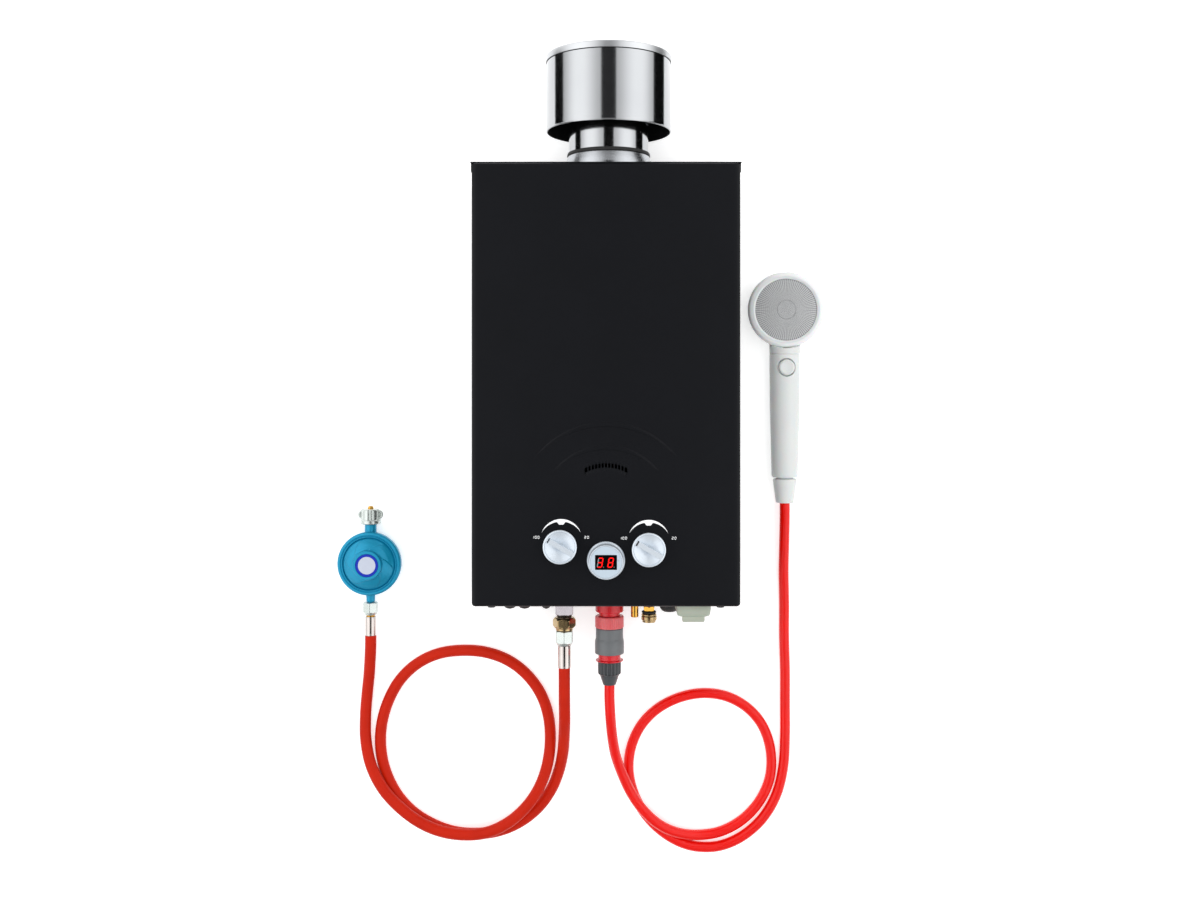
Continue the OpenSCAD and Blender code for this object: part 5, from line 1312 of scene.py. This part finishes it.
@dataclass
class WaterFittings:
    """Everything under the water side: adapter, quick connector, stub, drain and inlet, from the casing down."""

    shop: Workshop
    outlet: Point = (4.0, 0.0, 52.0)
    stub: Point = (33.0, 0.0, 52.0)
    drain: Point = (49.5, 0.0, 52.0)
    inlet: Point = (73.0, 0.0, 52.0)
    thread_r: float = 10.35
    thread_depth: float = 0.55
    pitch: float = 1.8

    def build(self) -> None:
        """Makes the stack of the outlet, then the other ports."""
        self.adapter()
        self.connector()
        self.outlets()

    def adapter(self) -> None:
        """The red adapter: a flange on its tail, and a ribbed ring."""
        flange = rounded([(9.2, 248), (15.9, 248, 0.3), (16.2, 248.6, 0.3), (16.2, 261.4, 0.3), (15.6, 262, 0.3),
                          (12.6, 262.1, 0.3), (12.35, 262.6, 0.3), (12.35, 266.4, 0.2), (8, 266.6), (8, 267)])
        tail = np.array([(8, 294), (5.5, 294), (5.5, 259), (9.2, 259), (9.2, 248)])
        self.shop.shell("adapter_flange", turned(np.vstack([flange, tail])), self.outlet, Facing.DOWN, DEEP_RED_PP,
                        "outlet_adapter", "red_plastic")
        ring = gripped([(8.1, 266.7), (15.8, 266.7, 0.5), (16.5, 267.6, 0.4), (16.5, 279.6, 0.5),
                        (15.8, 280.3, 0.4), (8.1, 280.3), (8.1, 266.7)], 1.5, 267.4, 279.8, 0.5, 14)
        self.shop.shell("adapter_ring", ribbed(ring, 40, 0.45), self.outlet, Facing.DOWN, RED_PP, "outlet_adapter",
                        "red_plastic", True)

    def connector(self) -> None:
        """The quick connector: its core, its sleeve with six pressed flats in the waist, and its ribbed nut."""
        self.shop.turn("connector_core_skin", [
            (4.5, 280.6), (12.75, 280.6, 0.2), (12.75, 316.6, 0.2), (13.2, 317.3, 0.5), (15.8, 317.3, 0.3),
            (15.8, 318.4, 0.2), (4.5, 318.6), (4.5, 280.6)], self.outlet, Facing.DOWN, DEEP_RED_PP,
            "connector_core", "red_plastic")
        flats = turned(rounded([
            (12.8, 280.6), (15.5, 280.6, 0.3), (16, 281.4, 0.4), (16, 292.5, 1.5), (16.3, 294, 0.8),
            (16.75, 296.6, 1), (16.75, 309.5, 0.3), (16.4, 309.9, 0.1), (15.2, 309.9, 0.1), (12.8, 309.9),
            (12.8, 280.6)]), 144)
        x, y, h = np.moveaxis(flats, -1, 0)
        waist = soft_step((294 - h) / 2) * soft_step(h - 281) * (np.hypot(x, y) > 14)
        press = 0.35 * waist * (0.5 + 0.5 * np.cos(6 * np.arctan2(y, x))) ** 2
        flats[..., :2] *= 1 - press[..., None] / 16
        self.shop.shell("connector_grip", flats, self.outlet, Facing.DOWN, GREY_PP, "connector_sleeve", "grey_plastic")
        nut = gripped([(0, 318.7), (12.6, 318.7, 0.3), (13.2, 319.6, 0.4), (13.2, 332.6, 0.5), (12.6, 333.6, 0.4),
                       (11.6, 334, 0.3), (10.9, 335.4, 0.6), (7.8, 344.6, 1.2), (7.4, 346, 0.3), (0, 346)],
                      1.5, 320.2, 332.6, 0.7)
        self.shop.shell("connector_nut_skin", ribbed(nut, 18, 2.0, 1.4), self.outlet, Facing.DOWN, DARK_PP,
                        "connector_nut", "grey_plastic")

    def brass(self, name: str, node: str, spot: Point, *grids: Grid) -> None:
        """Makes a brass piece of a few grids that share an axis, for a node of the same size."""
        skin = Skin(name)
        for grid in grids:
            skin.put(grid, spot, Facing.DOWN)
        self.shop.piece(skin.build(), BRASS, node, "brass")

    def outlets(self) -> None:
        """The relief stub, the drain with its rubber ring and knurled cap, the inlet and its push-on cap."""
        self.brass(
            "relief_stub_skin", "relief_stub", self.stub,
            turned(rounded([(3.2, 203), (4, 203, 0.2), (4, 239, 0.2), (4.4, 242.4, 0.2), (4.4, 268, 0.3),
                            (3.9, 268.4, 0.2), (3.2, 268.4, 0.2), (3.2, 203)]), 64),
            faceted(rounded([(3.3, 238.5), (6.2, 238.5, 0.3), (6.3, 242.2, 0.3), (3.3, 242.4), (3.3, 238.5)]),
                    11))
        self.brass(
            "drain_valve_skin", "drain_valve", self.drain,
            turned(rounded([(0, 203), (5, 203, 0.2), (5, 255.6, 0.2), (4.2, 256.4, 0.3), (4.2, 261, 0.2),
                            (5, 261.4, 0.2), (5, 263.5, 0.2), (3, 263.6, 0.1), (3, 270, 0.3), (0, 270)]), 64),
            faceted(rounded([(0, 256), (6.4, 256, 0.2), (6.9, 256.8, 0.3), (6.9, 260.2, 0.3), (6.4, 261, 0.2),
                             (0, 261)]), 12, 30))
        cap = gripped([(3.1, 263.8), (7.6, 263.8, 0.4), (8.6, 265, 0.5), (8.6, 266.2, 0.3), (7.9, 266.8, 0.3),
                       (8.8, 267.5, 0.3), (8.8, 271.4, 0.3), (7.9, 272, 0.3), (7.6, 274.2, 0.5), (0, 274.3)],
                      0.8, 264.8, 271.4, 0.4, 6)
        self.shop.shell("drain_cap_skin", ribbed(cap, 30, 0.35), self.drain, Facing.DOWN, AGED_BRASS, "drain_cap",
                        "dark_brass")
        self.shop.turn("drain_seal", [(5.05, 261.1), (7.6, 261.1, 0.6), (8.5, 262.2, 0.6), (7.9, 263.7, 0.5),
                                      (5.05, 263.7), (5.05, 261.1)],
                       self.drain, Facing.DOWN, RUBBER_AND_SHADE, "drain_valve", "black_rubber", True, 64)
        h = np.arange(240, 254.6, 0.15)
        valley = 0.5 - 0.5 * np.cos(TAU * h / self.pitch)
        thread = self.thread_r - self.thread_depth * valley * soft_step((h - 240.6) / 1.2)
        self.brass(
            "inlet_thread", "water_inlet", self.inlet,
            turned(np.vstack([[(7.5, 203), (10.3, 203)], np.c_[thread, h], [(9.4, 255), (7.5, 255), (7.5, 203)]]), 64),
            faceted(rounded([(10.2, 233.8), (13, 233.8, 0.3), (13.6, 234.4, 0.4), (13.6, 236.2, 0.4),
                             (13, 236.8, 0.3), (10.2, 236.8), (10.2, 233.8)]), 24))
        self.shop.turn("inlet_dust_cap", [
            (10.45, 240.3), (12.25, 240.3, 0.3), (12.25, 242.5, 0.4), (11.8, 243, 0.3), (11.8, 254.3, 2),
            (10.9, 257.8, 2), (7.6, 261.8, 2.5), (0, 262.5), (0, 256.4), (10.45, 256.2, 0.6),
            (10.45, 240.3)], self.inlet, Facing.DOWN, RUBBER_AND_SHADE, "inlet_cap", "black_rubber", turns=80)


# ---- Battery box ----


@dataclass
class BatteryBox:
    """The milky lid below the casing, with its thumb tab; the box and its pin stay hidden inside."""

    shop: Workshop
    x: float = 95.5
    z: float = 92.8
    size: float = 37.6
    front_y: float = -241.8
    depth: float = 12.0
    wall: float = 1.4
    hook_z: float = 90.6

    def build(self) -> None:
        """Makes the lid from rounded outlines, each drawn in by a little more towards its outer face."""
        self.shop.eased("battery_box", "battery_sleeve", MILKY_PP, "pale_plastic", 0.3)
        self.shop.keep("battery_hinge_pin", NICKEL)
        s, d, w, y = self.size, self.depth, self.wall, -self.front_y
        cup = boxed(s, s, 4.0, rounded([(w, y + d - w), (w, y), (0, y), (0.1, y + 4), (0.5, y + 8, 1),
                                        (1.2, y + d - 2, 1.2), (4.5, y + d, 1.6)], 7))
        inside, outside = (np.broadcast_to([0.0, 0.0, h], (1, cup.shape[1], 3)) for h in (y + d - w, y + d))
        tab = boxed(s - 13, 4.4, 1.8, rounded([(0, y + d - 1.6), (0, y + d + 4, 0.5), (0.5, y + d + 6, 0.8),
                                              (1.4, y + d + 6)], 5))
        hook = boxed(9.6, 3.8, 1.8, rounded([(0.2, y - 1.5), (0, y + 1, 0.3), (0, y + 4.9, 0.6),
                                             (0.6, y + 5.2)], 4))
        lid = Skin("battery_door")
        for grid, z in ((np.concatenate([inside, cup, outside]), self.z + s / 2), (tab, self.z + s - 6),
                        (hook, self.hook_z)):
            lid.put(grid, (self.x, 0, z), Facing.DOWN)
        self.shop.piece(lid.build(), MILKY_PP, "battery_lid", "pale_plastic")


# ---- Handset ----


@dataclass
class Handset:
    """The shower handset: a lofted body, a white rim, a perforated plate, a button and a hose nut."""

    shop: Workshop
    x: float = 211.0
    head_y: float = 87.0
    head_r: float = 44.5
    thick: float = 32.0
    seat: float = 23.0
    plate_r: float = 36.0
    axis_z: float = 18.0
    button_y: float = 19.5
    button_r: float = 9.15
    button_z: float = 31.3
    button_floor: float = 30.6
    front_z: float = 36.0
    back_z: float = 0.05
    neck_y: float = 66.0
    fuse: float = 2.5
    foot_y: float = -106.0
    skirt: float = 3.8
    nut_gap: float = 5.8
    thread_r: float = 9.9
    thread_depth: float = 0.3
    pitch: float = 1.8

    def build(self) -> None:
        """Makes every piece of the handset."""
        self.body()
        r, t, p, seat = self.head_r, self.thick, self.plate_r + 0.1, self.seat
        self.shop.turn("head_rim", [
            (p, seat), (r - 0.6, seat, 0.4), (r, seat + 1, 0.5), (r, seat + 4, 1.2), (r - 1.4, t - 1.6, 1.4),
            (r - 4.4, t, 1.8), (self.plate_r + 2.4, t, 0.8), (p, t - 1.6, 0.8), (p, seat)],
            (self.x, self.head_y, 0), Facing.FRONT, WHITE_ABS, "handset_rim", "white_plastic", turns=160)
        self.spray_plate()
        b, z = self.button_r, self.button_z
        self.shop.turn("stop_button", [
            (0, z - 2), (4, z - 2), (4, z + 2.5), (b, z + 2.6, 0.2), (b, z + 4.8, 0.7),
            (b - 1.3, z + 5.8, 0.9), (b - 3, z + 5.7, 1), (0, z + 5.1)],
            (self.x, self.button_y, 0), Facing.FRONT, GREY_ABS, "handset_button", "white_plastic")
        foot = self.nut_gap - self.foot_y
        self.shop.turn("hose_nut_cone", [
            (0, foot), (13.5, foot, 0.5), (13.9, foot + 0.8, 0.4), (13.6, foot + 5, 1.5), (10.7, foot + 26.4, 0.8),
            (10.2, foot + 28.2, 0.4), (6.4, foot + 28.2, 0.3), (6.2, foot + 27, 0.2), (0, foot + 27)],
            (self.x, 0, self.axis_z), Facing.DOWN, GREY_ABS, "handset_nut", "white_plastic")

    def handle(self, y: np.ndarray) -> np.ndarray:
        """Radius of the handle along its axis: a slight taper, with a seam groove near the head."""
        down = 67.0 - y
        r = np.interp(down, [-90, -30, 0, 20, 31, 40, 90, 174.4, 175.8, 177],
                      [2, 15, 19, 18.4, 17.9, 18, 17.6, 15.6, 15.2, 14.2])
        return r - 1.0 * np.exp(-(((down - 32) / 0.5) ** 2))

    def bowl(self, z: np.ndarray) -> np.ndarray:
        """Radius of the head's back shell at a height."""
        return np.interp(z, [0, 0.2, 1.5, 6, 12, 19, 22.2, 23], [16, 20, 29, 37, 41.5, 43.5, 43.7, 43.2])

    def reach(self, y: np.ndarray, angle: np.ndarray, middle: np.ndarray) -> np.ndarray:
        """How far rays go in each plane across the handle: the smooth greater of the handle and the bowl.

        The bowl's radius along a ray is the longest step that stays inside its shell. The handle's is
        where the ray leaves its circle.

        Args:
            y: The planes, as one column.
            angle: The rays' angles, as one row.
            middle: Height of each plane's middle, as one column.

        Returns:
            The radii, planes by rays.
        """
        sx, sz = np.cos(angle), np.sin(angle)
        step = np.linspace(0, 60, 361)[1:]
        z = middle[:, :, None] + sz[:, :, None] * step
        span = self.bowl(z) ** 2 - (y[:, :, None] - self.head_y) ** 2
        inside = (span > (sx[:, :, None] * step) ** 2) & (z > 0) & (z < self.seat)
        head = np.where(inside.all(2), 60, np.argmin(inside, 2) * (step[1] - step[0]))
        drop = middle - self.axis_z
        ray = -drop * sz + np.sqrt(np.maximum(self.handle(y) ** 2 - (drop * sx) ** 2, 0.01))
        ray = np.where(y > self.neck_y, 0, ray)
        blend = self.fuse * np.exp(-np.abs(head - ray) / self.fuse) * 0.35
        return np.maximum(head, ray) + blend * ((head > 1) & (ray > 1))

    def body(self) -> None:
        """The body: rays from the middle of each plane, cut by flats, the rim's seat and the button's well.

        A flat or a floor at height h cuts a ray at (h - middle) / sin of its angle. The foot ends in
        the thread for the hose nut.
        """
        end = self.foot_y - self.skirt
        y = np.unique(np.round(np.r_[np.linspace(end, 5, 56), np.arange(5, 37.5, 0.45), np.linspace(37.5, 131.2, 110),
                                     131.35, 131.45], 3))[:, None]
        angle = np.unique(np.round(np.r_[np.arange(0, TAU, TAU / 96), np.radians(np.arange(48, 132, 1.3))], 6))[None]
        middle = self.axis_z + 2.0 * soft_step((y - 30) / 30)
        sx, sz = np.cos(angle), np.sin(angle)
        r = self.reach(y, angle, middle)
        r = np.where(r * sz + middle > self.front_z, (self.front_z - middle) / np.maximum(sz, 0.01), r)
        r = np.where(r * sz + middle < self.back_z, (self.back_z - middle) / np.minimum(sz, -0.01), r)
        under = (np.hypot(r * sx, y - self.head_y) < self.head_r + 0.2) & (sz > 0.05)
        r = np.where(under, np.minimum(r, (self.seat - middle) / np.maximum(sz, 0.05)), r)
        well = (np.hypot(r * sx, y - self.button_y) < self.button_r + 1.5) & (sz > 0.5)
        r = np.where(well, np.minimum(r, (self.button_floor - middle) / np.maximum(sz, 0.1)), r)
        r = np.maximum(r, 0.4)
        grid = np.stack([self.x + r * sx, y + 0 * r, middle + r * sz], -1)
        run = np.arange(self.foot_y - 5.6, end, 0.2)
        wave = self.thread_depth * np.cos(TAU * run / self.pitch)
        thread = np.r_[0, self.thread_r + wave, self.thread_r][:, None]
        run = np.r_[run[0], run, end][:, None]
        foot = np.stack([self.x + thread * sx, run + 0 * sx, self.axis_z + thread * sz], -1)
        self.shop.piece(Skin("handset_shell").grid(np.concatenate([foot, grid])).build(), GREY_ABS, "handset_body",
                        "white_plastic")

    def spray_plate(self) -> None:
        """The plate: a shallow dome with pressed rings, mapped so that each hole is one unit square."""
        p, low, turns = self.plate_r, self.seat, 144
        r = np.r_[p, p, np.arange(p - 0.3, 11.6, -0.35), np.arange(11.6, 10.4, -0.15), np.arange(10, 0, -0.6), 0]
        rise = np.interp(r, [0, 10.6, 11.0, 11.3, 11.7, 20, 32, 35.4, 36],
                         [8.5, 8.3, 7.8, 7.8, 8.2, 7.9, 7.1, 6.5, 6.0])
        z = low + rise + 0.09 * np.cos(TAU * r / 2.4) * soft_step((r - 12) / 2) * soft_step((34 - r) / 2)
        z[0] = low
        holes = np.linspace(0, TAU, turns + 1) / TAU * 90
        uv = np.stack(np.broadcast_arrays(holes, (r / 1.2)[:, None]), -1)
        skin = Skin("spray_disc")
        for rows, chart in ((np.array([(0, low), (p, low)]), np.zeros((2, turns + 1, 2))), (np.c_[r, z], uv)):
            skin.grid(placed(turned(rows, turns), (self.x, self.head_y, 0)), uv=chart, ends=False)
        self.shop.piece(skin.build(), SPRAY_ABS, "spray_plate", "spray_grey")


# ---- Studio ----


@dataclass
class Studio:
    """A pale floor, soft lights and the photograph's camera."""

    eye: float = 1435.0
    lens: float = 36.0
    shift: tuple[float, float] = (-0.005, -0.055)
    air: float = 0.6
    lights: list[tuple[str, Point, Point, float, float]] = field(default_factory=lambda: [
        ("overhead_softbox", (60, 0, 2450), (60, 0, 0), 2.4, 32.0),
        ("left_softbox", (-1900, 500, 1500), (0, 0, 0), 1.9, 10.0),
        ("right_softbox", (1900, 300, 1500), (0, 0, 0), 1.9, 5.0),
        ("head_softbox", (0, 2100, 1700), (0, 0, 0), 1.9, 6.0),
    ])
    cards: list[tuple[str, float, float, list[Point]]] = field(default_factory=lambda: [
        ("left_card", 0.95, 1.8, [(-370, 1700, 1560), (-370, -1500, 1560), (-1750, -1500, 130), (-1750, 1700, 130)]),
        ("right_card", 0.95, 1.8, [(370, 1700, 1560), (370, -1500, 1560), (1750, -1500, 130), (1750, 1700, 130)]),
        ("head_card", 0.5, 0.5, [(-1700, 1750, 2400), (-1700, 1750, 0), (1700, 1750, 0), (1700, 1750, 2400)]),
        ("foot_card", 0.35, 0.35, [(-1700, -1550, 2400), (-1700, -1550, 0), (1700, -1550, 0), (1700, -1550, 2400)]),
    ])
    flags: list[tuple[str, str, list[Point]]] = field(default_factory=lambda: [
        ("ceiling_flag", "#313132", [(-560, 700, 2500), (560, 700, 2500), (560, 1700, 2500), (-560, 1700, 2500)]),
        ("heater_flag", "#0b0b0b", [(-640, -1200, 2500), (640, -1200, 2500), (640, 700, 2500), (-640, 700, 2500)]),
        ("left_flag", "#060606", [(-272, 235, 1), (-272, 440, 1), (-272, 440, 114), (-272, 235, 114)]),
        ("right_flag", "#060606", [(181, 262, 30), (181, 440, 30), (181, 440, 121), (181, 262, 121)]),
    ])

    def glow(self, name: str, low: float, high: float) -> bpy.types.Material:
        """A card's light: it rises softly from both of its long edges to its middle.

        Args:
            name: The card's name.
            low: Strength at the edges.
            high: Strength in the middle.

        Returns:
            An emitting material on the card's own map.
        """
        nodes = Nodes(name)
        across = nodes.add("SeparateXYZ", {0: nodes.map}).outputs[1]
        off = nodes.add("Math", {0: across, 1: 0.5}, operation="SUBTRACT").outputs[0]
        off = nodes.add("Math", {0: off}, operation="ABSOLUTE").outputs[0]
        power = nodes.ranged(off, (0.5, 0.05), (low, high), interpolation_type="SMOOTHSTEP")
        return nodes.shaded("Emission", {"Strength": power})

    def build_cards(self) -> None:
        """Dark flags and glowing cards that only reflections see: they give metal its dark and bright bands."""
        shown = [(name, Finish(name, colour, colour, 0.9, specular=0.0).material(), corners)
                 for name, colour, corners in self.flags]
        shown += [(name, self.glow(name, low, high), corners) for name, low, high, corners in self.cards]
        square = np.array([[(0, 0), (1, 0)], [(0, 1), (1, 1)]], float)
        for name, material, corners in shown:
            grid = np.array([corners[:2], corners[3:1:-1]], float)
            card = Skin(name).grid(grid, wrap=False, uv=square).build(closed=False)
            card.data.materials.append(material)
            for way in ("camera", "diffuse", "transmission", "shadow", "volume_scatter"):
                setattr(card, "visible_" + way, False)

    def build_camera(self) -> None:
        """The camera, straight above the origin."""
        lens = bpy.data.cameras.new("photo_camera")
        lens.lens, lens.sensor_width, lens.sensor_fit = self.lens, 36.0, "HORIZONTAL"
        lens.shift_x, lens.shift_y = self.shift
        lens.clip_start, lens.clip_end = 0.05, 20
        camera = bpy.data.objects.new("photo_camera", lens)
        camera.location = (0, 0, self.eye * MM)
        bpy.context.scene.collection.objects.link(camera)
        bpy.context.scene.camera = camera

    def build(self) -> None:
        """Sets the camera, the floor, the air and the lights."""
        scene = bpy.context.scene
        scene.view_settings.view_transform = "Standard"
        self.build_camera()
        disc = turned(np.array([(0, 0), (1500, 0), (6000, 0)]), 64)
        floor = Skin("floor").grid(placed(disc, (0, 0, -0.05)), ends=False).build(closed=False)
        floor.data.materials.append(Finish("white_paper", "#fafafa", "#f7f7f7", 0.8, spread=0.02, drift_mm=900,
                                           glow=0.45, grain_mm=3, depth_mm=0.01).material())
        scene.world = bpy.data.worlds.new("studio_air")
        scene.world.use_nodes = True
        air = scene.world.node_tree.nodes["Background"].inputs
        air["Color"].default_value, air["Strength"].default_value = linear("#ffffff"), self.air
        for name, spot, aim, size, power in self.lights:
            lamp = bpy.data.lights.new(name, "AREA")
            lamp.shape, lamp.size, lamp.energy = "SQUARE", size, power
            held = bpy.data.objects.new(name, lamp)
            held.location = [v * MM for v in spot]
            aimed = np.array(aim, float) - np.array(spot, float)
            held.rotation_euler = Vector(aimed).to_track_quat("-Z", "Y").to_euler()
            held.visible_glossy = False
            scene.collection.objects.link(held)
        self.build_cards()
        LOG.info("studio: %d lights, %d flags, %d cards", len(self.lights), len(self.flags), len(self.cards))


KEPT = {
    "gas_spindle": BRASS, "water_spindle": BRASS, "display_board": CIRCUIT_BOARD, "battery_cells": CELL_JACKET,
    "flue_hood": ALUMINISED, "heat_exchanger": COPPER, "fin_block": COPPER, "burner": ALUMINISED,
    "gas_valve": CAST_ALUMINIUM, "water_valve": BRASS, "water_pipes": COPPER, "igniter": RUBBER_AND_SHADE,
}


def main() -> None:
    """Builds every sub-assembly in order."""
    logging.basicConfig(level=logging.INFO, format="%(name)s %(message)s")
    shop = Workshop()
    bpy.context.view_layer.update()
    Studio().build()
    Hose(shop, "gas_hose_skin", "gas_hose", GAS_RUBBER, "orange_rubber", 6.65, GAS_ROUTE, (-48, -300.8, 52),
         "fitting", ("gas_hose_nut", "gas_ferrule", "regulator_ferrule", "regulator_nut")).build()
    Hose(shop, "shower_hose_skin", "water_hose", RED_PVC, "red_hose", 6.0, WATER_ROUTE, (4, -346, 52),
         "connector", ("handset_nut",)).build()
    for part in (Casing(shop), Flue(shop), Knob(shop, "gas_knob_skin", "gas_knob", -49.0, -173.0, 0.25),
                 Knob(shop, "water_knob_skin", "water_knob", 45.5, -176.0, 0.65), Display(shop), Dials(shop),
                 GasFittings(shop), Regulator(shop), WaterFittings(shop), BatteryBox(shop), Handset(shop)):
        part.build()
    for node, finish in KEPT.items():
        shop.keep(node, finish)


if __name__ == "__main__":
    main()
